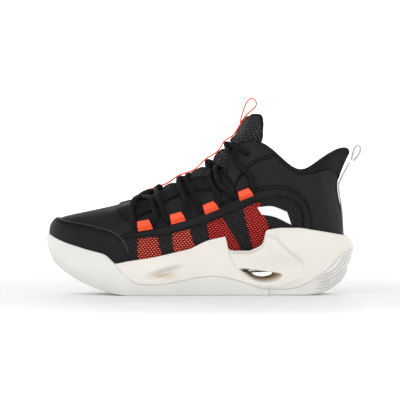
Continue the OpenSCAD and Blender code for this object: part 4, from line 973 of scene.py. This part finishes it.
def tongue_on(s, a):
    s, a = np.broadcast_arrays(np.asarray(s, float), np.asarray(a, float))
    flat_s, flat_a = s.ravel(), a.ravel()
    along = open_at(rows_, flat_s)
    ghost = np.concatenate([2 * along[:, :1] - along[:, 1:2], along, 2 * along[:, -1:] - along[:, -2:-1]], 1)
    i = np.clip(np.floor(flat_a).astype(int), 0, 3)
    b = basis(flat_a - i)
    pick = np.arange(len(flat_a))
    return sum(b[j][:, None] * ghost[pick, i + j] for j in range(4)).reshape(s.shape + (3,))


def tongue_normal(s, a):
    e = 2e-3
    s, a = np.clip(s, e, 8 - e), np.clip(a, e, 4 - e)
    along = tongue_on(s + e, a) - tongue_on(s - e, a)
    across = tongue_on(s, a + e) - tongue_on(s, a - e)
    return unit(np.cross(along, across))


def tongue_at(s, a, off):
    s, a = np.broadcast_arrays(np.asarray(s, float), np.asarray(a, float))
    return tongue_on(s, a) + tongue_normal(s, a) * np.asarray(off, float)[..., None]


CROSS_AT = [1.14, 2.26, 3.6, 4.9]
ROW_MM, COLUMN_MM = 18.0, 14.0  # mean spacing of the tongue's rows and columns
PUFF_LOW, PUFF_TOP = 4.8, 2.6
PRESSED = 2.2
ss, aa = np.meshgrid(np.linspace(0.1, 7.92, 150), np.linspace(0.03, 3.97, 70), indexing="ij")
edge_a = np.minimum(aa, 4 - aa)
press = sum(np.exp(-(((ss - c) / 0.24) ** 2)) for c in CROSS_AT)
free = 1 - np.clip(press, 0, 1)
puff = mix(PUFF_LOW, PUFF_TOP, smooth((ss - 5.2) / 0.8))
puff = puff * free * smooth(edge_a / 1.3) * smooth((8 - ss) / 0.5)
swell = np.sqrt(np.clip(1 - (1 - edge_a / 0.25).clip(0, 1) ** 2, 0, 1)) * np.sqrt(
    np.clip(1 - (1 - (8 - ss) / 0.3).clip(0, 1) ** 2, 0, 1))
top_off = mix(-2.4, 0.2 + puff - PRESSED * np.clip(press, 0, 1), swell)
low_off = mix(-3.0, -5.6, swell)
tongue = sheet("tongue_pad", tongue_at(ss, aa, top_off), tongue_at(ss, aa, low_off), TONGUE_CLOTH,
               "tongue_mesh", bevel=0, body=None, uv=np.stack([aa * COLUMN_MM, ss * ROW_MM], -1))
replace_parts(tongue, "tongue_face", "tongue_padding", "tongue_top_face", "tongue_top_padding")
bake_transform(tongue)

side_s = np.linspace(6.6, 7.8, 24)
edge_path = np.concatenate([tongue_at(side_s, 0.04, -2.6), tongue_at(7.9, np.linspace(0.16, 3.84, 60), -2.4),
                            tongue_at(side_s[::-1], 3.96, -2.6)])
edge_path = rounded(resample(edge_path, 60), 2)
edge_share = np.linspace(0, 1, len(edge_path))
edge_r = mix(0.6, 2.5, smooth(np.minimum(edge_share, 1 - edge_share) / 0.15))
binding = tube("tongue_binding_cloth", edge_path, edge_r, BINDING, 14,
               np.broadcast_to([-0.8, 0, 0.6], edge_path.shape), 0.9, body="tongue_flap")
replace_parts(binding, "tongue_binding")

# ---------------------------------------------------------------- lace
LOOP_AT = [(-53.5, 68), (-22.5, 75.5), (9.5, 86), (43, 99.5)]
BAR_ROW = 0.42
LACE_D, LOOP_W, LOOP_BASE, LOOP_T = 4.4, 13, 1.9, 0.8
BRAID_EXTRA = 0.5  # the braid is drawn this much fuller all round than its solid
LOOP_SLOPE = [0.16, 0.28, 0.42, 0.38]
BORE = LACE_D + 1.2
LACE_RISE = LOOP_BASE + LOOP_T + BORE / 2
OFF_LACE = 1.7 + 0.6 + LACE_D / 2
TAIL_OFF = -3.2 - 1 - 1.2 - LACE_D / 2
LEAVE = [[(-42.6, 75.6), (-43.4, 81.5), (-45.4, 87), (-46.6, 91), (-47.4, 94.4)],
         [(-12, 83.4), (-13.8, 90.8), (-16.6, 98), (-18.4, 103.4), (-19.4, 107)],
         [(18.5, 94), (16.5, 100), (12, 107.5)], [(51, 107), (49, 114), (42, 122), (35, 130.5)]]
ARRIVE = [[(-40.6, 99), (-39.6, 94.6), (-38.6, 90.6), (-36.8, 83.4), (-35, 77.6)],
          [(-12.2, 109.6), (-10.6, 105.4), (-8.2, 100), (-4.8, 93.4), (-1.2, 87.4)],
          [(20, 108.5), (24.6, 102.6), (29.6, 98.2)]]
EDGE_AT = [(2.27, 2.62), (3.36, 3.7), (4.6, 4.97), (5.8, 6.12)]


def side_tv(tv, s):
    return tv if s < 0 else (-tv[0], tv[1])


def loop_frame(i, s):
    t, v = side_tv(locate(LOOP_AT[i])[0], s)
    n, p = skin_normal(t, v), skin_on(t, v)
    rear = skin_on(*side_tv(locate(np.array(LOOP_AT[i]) + 4 * np.array([1, LOOP_SLOPE[i]]))[0], s))
    up = unit(np.cross(n, rear - p)) * -s
    return np.cross(up, n), up, n, p


def loop_point(i, s, shift):
    ahead, up, n, p = loop_frame(i, s)
    return p + n * LACE_RISE + ahead * shift * (1 if s < 0 else -1)


def on_upper(p, s, off):
    t, v = side_tv(locate(p)[0], s)
    return skin(t, v, off)


def over_edge(t, s):
    a = t if s < 0 else -t
    n, u = skin_normal(a, 3.98), unit(skin_on(a, 4.0) - skin_on(a, 3.8))
    return skin(a, 3.98, 1.7) + (LACE_D / 2 + 1.7) * unit(n + u)


def cross_point(i, s, along, up):
    return tongue_at(CROSS_AT[i] + 0.22 * along, 2 - s * along, 0.9 + 0.85 * up * (1 - 0.6 * along**2))


def strand(s):
    points = [over_edge(1.72, s), on_upper((-63, 86), s, OFF_LACE + 1.4), on_upper((-64.5, 78), s, OFF_LACE),
              on_upper((-63.5, 71), s, OFF_LACE)]
    for i in range(4):
        here = s if i % 2 == 0 else -s
        lift = LACE_D + 0.3 if (i % 2 == 0) == (s < 0) else 0
        points += [loop_point(i, here, d - LOOP_W / 2) for d in (-3.6, -1.8, LOOP_W + 1.8, LOOP_W + 3.6)]
        points += [on_upper(p, here, OFF_LACE) for p in LEAVE[i]]
        points.append(over_edge(EDGE_AT[i][0], here))
        spots = (-0.5, 0, 0.5) if i < 2 else (-0.9, -0.5, 0, 0.5, 0.9)
        points += [cross_point(i, here, a, lift) for a in spots]
        points.append(over_edge(EDGE_AT[i][1], -here))
        if i < 3:
            points += [on_upper(p, -here, OFF_LACE) for p in ARRIVE[i]]
    points += [on_upper(p, s, OFF_LACE) for p in ((37, 142.2), (42.5, 140))]
    points += [on_upper((46, 137.4), s, 2), on_upper((46.4, 136.6), s, -4.5)]
    points += [on_upper(p, s, TAIL_OFF) for p in ((45.6, 131), (43.5, 124), (41.5, 116))]
    return rounded(np.array(points), 5)


def relax(p, rounds):
    for _ in range(rounds):
        p[1:-1] = 0.25 * p[:-2] + 0.5 * p[1:-1] + 0.25 * p[2:]
    return p


halves = [strand(s) for s in (-1, 1)]
lace_path = np.concatenate([halves[0][::-1], [tongue_at(BAR_ROW, 2, LACE_D / 2 + 0.4)], halves[1]])
lace_path = relax(resample(lace_path, step=1.1), 5)
away = unit(np.stack([np.full(len(lace_path), -0.5), (lace_path[:, 1] - centre(lace_path[:, 0])) / 12,
                      np.full(len(lace_path), 0.9)], -1))
lace = tube("lace_braid", lace_path, LACE_D / 2 + BRAID_EXTRA, LACE, 14, away, 0.9)
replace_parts(lace, "shoelace")
for name, half in zip(("lateral", "medial"), halves):
    d = unit(half[-1] - half[-2])
    path = [half[-1] + d * k for k in (-1.5, 0.2, 0.6, 19, 20, 20.4)]
    aglet = tube(f"aglet_{name}", path, [1.7, 1.7, 1.6, 1.6, 1.5, 1.0], AGLET, 16,
                 np.broadcast_to(unit(np.array([1.0, 0.3, 0])), (6, 3)))
    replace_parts(aglet, "aglets")


def lace_loop(i, s, side):
    """Webbing folded over the lace, its two ends caught under the band."""
    ahead, up, n, p = loop_frame(i, s)
    r = BORE / 2 + LOOP_T / 2 - 0.1
    arc = [(r * np.cos(a), LACE_RISE - 0.3 + r * np.sin(a)) for a in np.radians(np.linspace(20, 150, 12))]
    front = [(-5.6, 1.9), (-5.0, 2.4), (-4.4, 3.2), (-3.9, 4.4)]
    back = [(3.0, LACE_RISE - 1.6), (2.4, 2.2), (0.5, 1.9), (-5, 1.85)]
    line = resample(rounded(front + arc[::-1] + back, 5), 60)
    d = unit(np.gradient(line, axis=0))
    m = np.stack([-d[:, 1], d[:, 0]], -1)
    across = np.linspace(-0.5, 0.5, 9) * LOOP_W
    run = run_along(line)
    grids = []
    for sign in (1, -1):
        c = line + sign * m * LOOP_T / 2
        taper = 1.1 - 0.26 * smooth((c[:, :1] + 5) / 9)
        lean = -0.1 * (c[:, :1] + 2) * (1 if s < 0 else -1)
        grids.append(np.stack([p + up * c[:, :1] + n * c[:, 1:] + ahead * (w * taper + lean)
                               for w in across], 1))
    uv = np.stack(np.broadcast_arrays(across[None], run[:, None]), -1)
    piece = sheet(f"lace_webbing_{side}_{i + 1}", *grids, ORANGE, "orange_webbing", uv=uv, bevel=0.2)
    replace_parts(piece, f"lace_loop_{side}_{i + 1}")


for side, s in (("lateral", -1), ("medial", 1)):
    for i in range(4):
        lace_loop(i, s, side)

# ---------------------------------------------------------------- straps and pull loops
STRAP_W, HEEL_W = 9, 13
SEEN_T, HEEL_STRIP_T, HEEL_LOOP_T = 1.5, 1.5, 2.0  # two layers of webbing with air between them
STRAP = [(0.55, 2.4), (0.75, 4.2), (0.93, 7), (1.03, 7.6), (1.25, 7.6), (1.45, 6.9), (1.7, 6.1), (1.98, 7),
         (2.14, 7.6), (2.38, 7.6), (2.6, 6.5), (2.9, 5.7), (3.22, 6.6), (3.48, 7.6), (3.74, 7.6), (4, 6.4),
         (4.25, 5.8), (4.5, 6.4), (4.76, 7.7), (5.02, 7.7), (5.25, 6.8), (5.5, 5.4), (5.8, 4.2), (6.2, 3.6),
         (6.8, 3.4), (7.4, 3)]
strap_line = np.array([tongue_at(s, 2, up) for s, up in STRAP])[:, [0, 2]]
strap = ribbon("tongue_webbing", rounded(strap_line, 6), STRAP_W, SEEN_T, ORANGE, "orange_webbing", body=None)
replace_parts(strap, "tongue_strap", "tongue_strap_end")
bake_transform(strap)
LOOP_TOP = [(39.0, 166.6), (40.4, 172.4), (42.8, 180), (45.2, 186.2), (48.6, 190), (52, 190.2), (54.6, 187.6),
            (54.8, 184.4), (52.8, 181.2), (49.4, 178.2), (45.6, 174.6), (42.4, 170.6), (40.2, 166.8)]
pull = ribbon("tongue_pull_webbing", rounded(LOOP_TOP, 8), STRAP_W, SEEN_T, ORANGE, "orange_webbing",
              body="tongue_loop")
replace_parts(pull, "tongue_pull_loop")
heel_v = np.linspace(1.12, 3.1, 46)
heel_lift = mix(-0.9, 1.3, smooth((heel_v - 1.2) / 1.3))
heel_line = skin(np.full(len(heel_v), float(LAST)), heel_v, heel_lift)[:, [0, 2]]
LEAVES_HEEL = 109.5
STRAIGHT = [(138.4, 114.5), (141.6, 120.4), (144.2, 125.4), (146.2, 128.6)]
heel_line = resample(rounded(np.concatenate([heel_line[heel_line[:, 1] < LEAVES_HEEL], STRAIGHT]), 3), 70)
strip = ribbon("heel_webbing_strip", heel_line, HEEL_W, HEEL_STRIP_T, WHITE_WEB, "white_webbing")
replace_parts(strip, "heel_webbing")
HEEL_LOOP = [(147.6, 130.6), (149, 136), (150.4, 141.5), (153, 144.6), (156, 143.4), (156.2, 139.4),
             (153.6, 134.4), (149.6, 129.6)]
heel_pull = ribbon("heel_pull_webbing", rounded(HEEL_LOOP, 8), HEEL_W, HEEL_LOOP_T, WHITE_WEB,
                   "white_webbing", body="heel_loop")
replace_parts(heel_pull, "heel_pull_loop")
badge = panel("side_badge_film", seam(BADGE[0], 30), seam(BADGE[1], 30), -0.1, 0.55, 8, FILM,
              "badge_plastic", bevel=0.25)
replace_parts(badge, "side_badge")

# ---------------------------------------------------------------- stitching
def shifted(tv, by):
    """A seam moved along v by a distance in mm."""
    p0, p1 = skin_on(tv[:, 0], tv[:, 1]), skin_on(tv[:, 0], tv[:, 1] + 0.02)
    per_v = np.linalg.norm(p1 - p0, axis=-1) / 0.02
    return np.stack([tv[:, 0], tv[:, 1] + by / np.maximum(per_v, 4)], -1)


over = LEATHER_T + 0.1
for side in ("lateral", "medial"):
    for name, tv, off in (("band_stitch_top", shifted(seam(BAND_TOP, 120), -1.6), over),
                          ("band_stitch_low", shifted(seam(BAND_LOW, 120), 1.6), over),
                          ("quarter_stitch", shifted(seam(BAND_TOP, 120)[40:], 1.9), 0.12),
                          ("patch_stitch", shifted(seam(PATCH_LOW, 60), 1.8), 0.62),
                          ("stay_stitch", shifted(seam(EYESTAY_LOW, 120), 1.8), over),
                          ("throat_stitch", row(np.linspace(1.2, 5.1, 120), 3.86), over)):
        stitch_row(f"{name}_{side}", on_side(tv, side), off)
for k, gap in enumerate((1.4, 3.6)):
    cap_line = mirror_edge(np.concatenate([row(np.linspace(0, 0.95, 22), CAP_RIDGE),
                                           seam(CAP_EDGE, 80)[2:60]]))
    stitch_row(f"cap_stitch_{k + 1}", shifted(cap_line, -gap), over)

cap_edge = mirror_edge(cap_high)[4:-4]
tube("cap_piping", skin(cap_edge[:, 0], cap_edge[:, 1], LEATHER_T - 0.2), 0.5, PIPING, 8,
     skin_normal(cap_edge[:, 0], cap_edge[:, 1]))

# ---------------------------------------------------------------- inner CAD parts that stay
for name, mat in (("insole_board", BOARD_MAT), ("shank_plate", AGLET)):
    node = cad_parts[name]
    node.data.materials.clear()
    node.data.materials.append(mat)

# ---------------------------------------------------------------- stage
def backdrop():
    """A wide white floor in metres that turns up all round and glows away from the shoe."""
    sides, flat, turn, top, sink = 64, 9.0, 2, 8.0, 0.00005
    angles = np.linspace(0, 2 * np.pi, sides, endpoint=False)
    profile = [(0.4, 0.0), (1.5, 0.0), (flat, 0.0)]
    profile += [(flat + turn * np.sin(a), turn - turn * np.cos(a)) for a in np.linspace(0.15, 1.57, 10)]
    profile.append((flat + turn, top))
    around = np.stack([np.cos(angles), np.sin(angles)], -1)
    rings = [at_height(r * around, z - sink) for r, z in profile]
    s = Shader("floor_paint", 0.6, specular=0.2)
    s.color((0.92, 0.92, 0.92, 1))
    away_from = s.add("ShaderNodeVectorMath", {0: s.object}, operation="LENGTH").outputs["Value"]
    glow = s.add("ShaderNodeMapRange", {"Value": away_from, "From Min": 0.3, "From Max": 1.2, "To Max": 0.86},
                 interpolation_type="SMOOTHSTEP").outputs[0]
    s.put(s.bsdf.inputs["Emission Color"], (1, 1, 1, 1))
    s.put(s.bsdf.inputs["Emission Strength"], glow)
    faces = [tuple(f) for f in grid_faces(len(rings), sides, True)] + [tuple(range(sides))]
    mesh = bpy.data.meshes.new("floor")
    mesh.from_pydata([tuple(p) for p in np.concatenate(rings)], [], faces)
    obj = outwards(bpy.data.objects.new("floor", mesh))
    obj.data.materials.append(s.mat)
    bpy.context.collection.objects.link(obj)


backdrop()
world = bpy.data.worlds.new("studio")
world.use_nodes = True
world.node_tree.nodes["Background"].inputs["Color"].default_value = (1, 1, 1, 1)
world.node_tree.nodes["Background"].inputs["Strength"].default_value = 0.16
bpy.context.scene.world = world
bpy.context.scene.view_settings.view_transform = "Standard"


def area(name, place, aim, size, power):
    data = bpy.data.lights.new(name, "AREA")
    data.shape, data.size, data.energy = "SQUARE", size, power
    light = bpy.data.objects.new(name, data)
    light.location = place
    light.rotation_euler = (Vector(aim) - Vector(place)).to_track_quat("-Z", "Y").to_euler()
    bpy.context.collection.objects.link(light)


area("key", (-0.7, -1.5, 1.9), (0, 0, 0.08), 0.8, 9)
area("top", (0.2, 0.2, 1.9), (0, 0, 0.1), 1.8, 5)
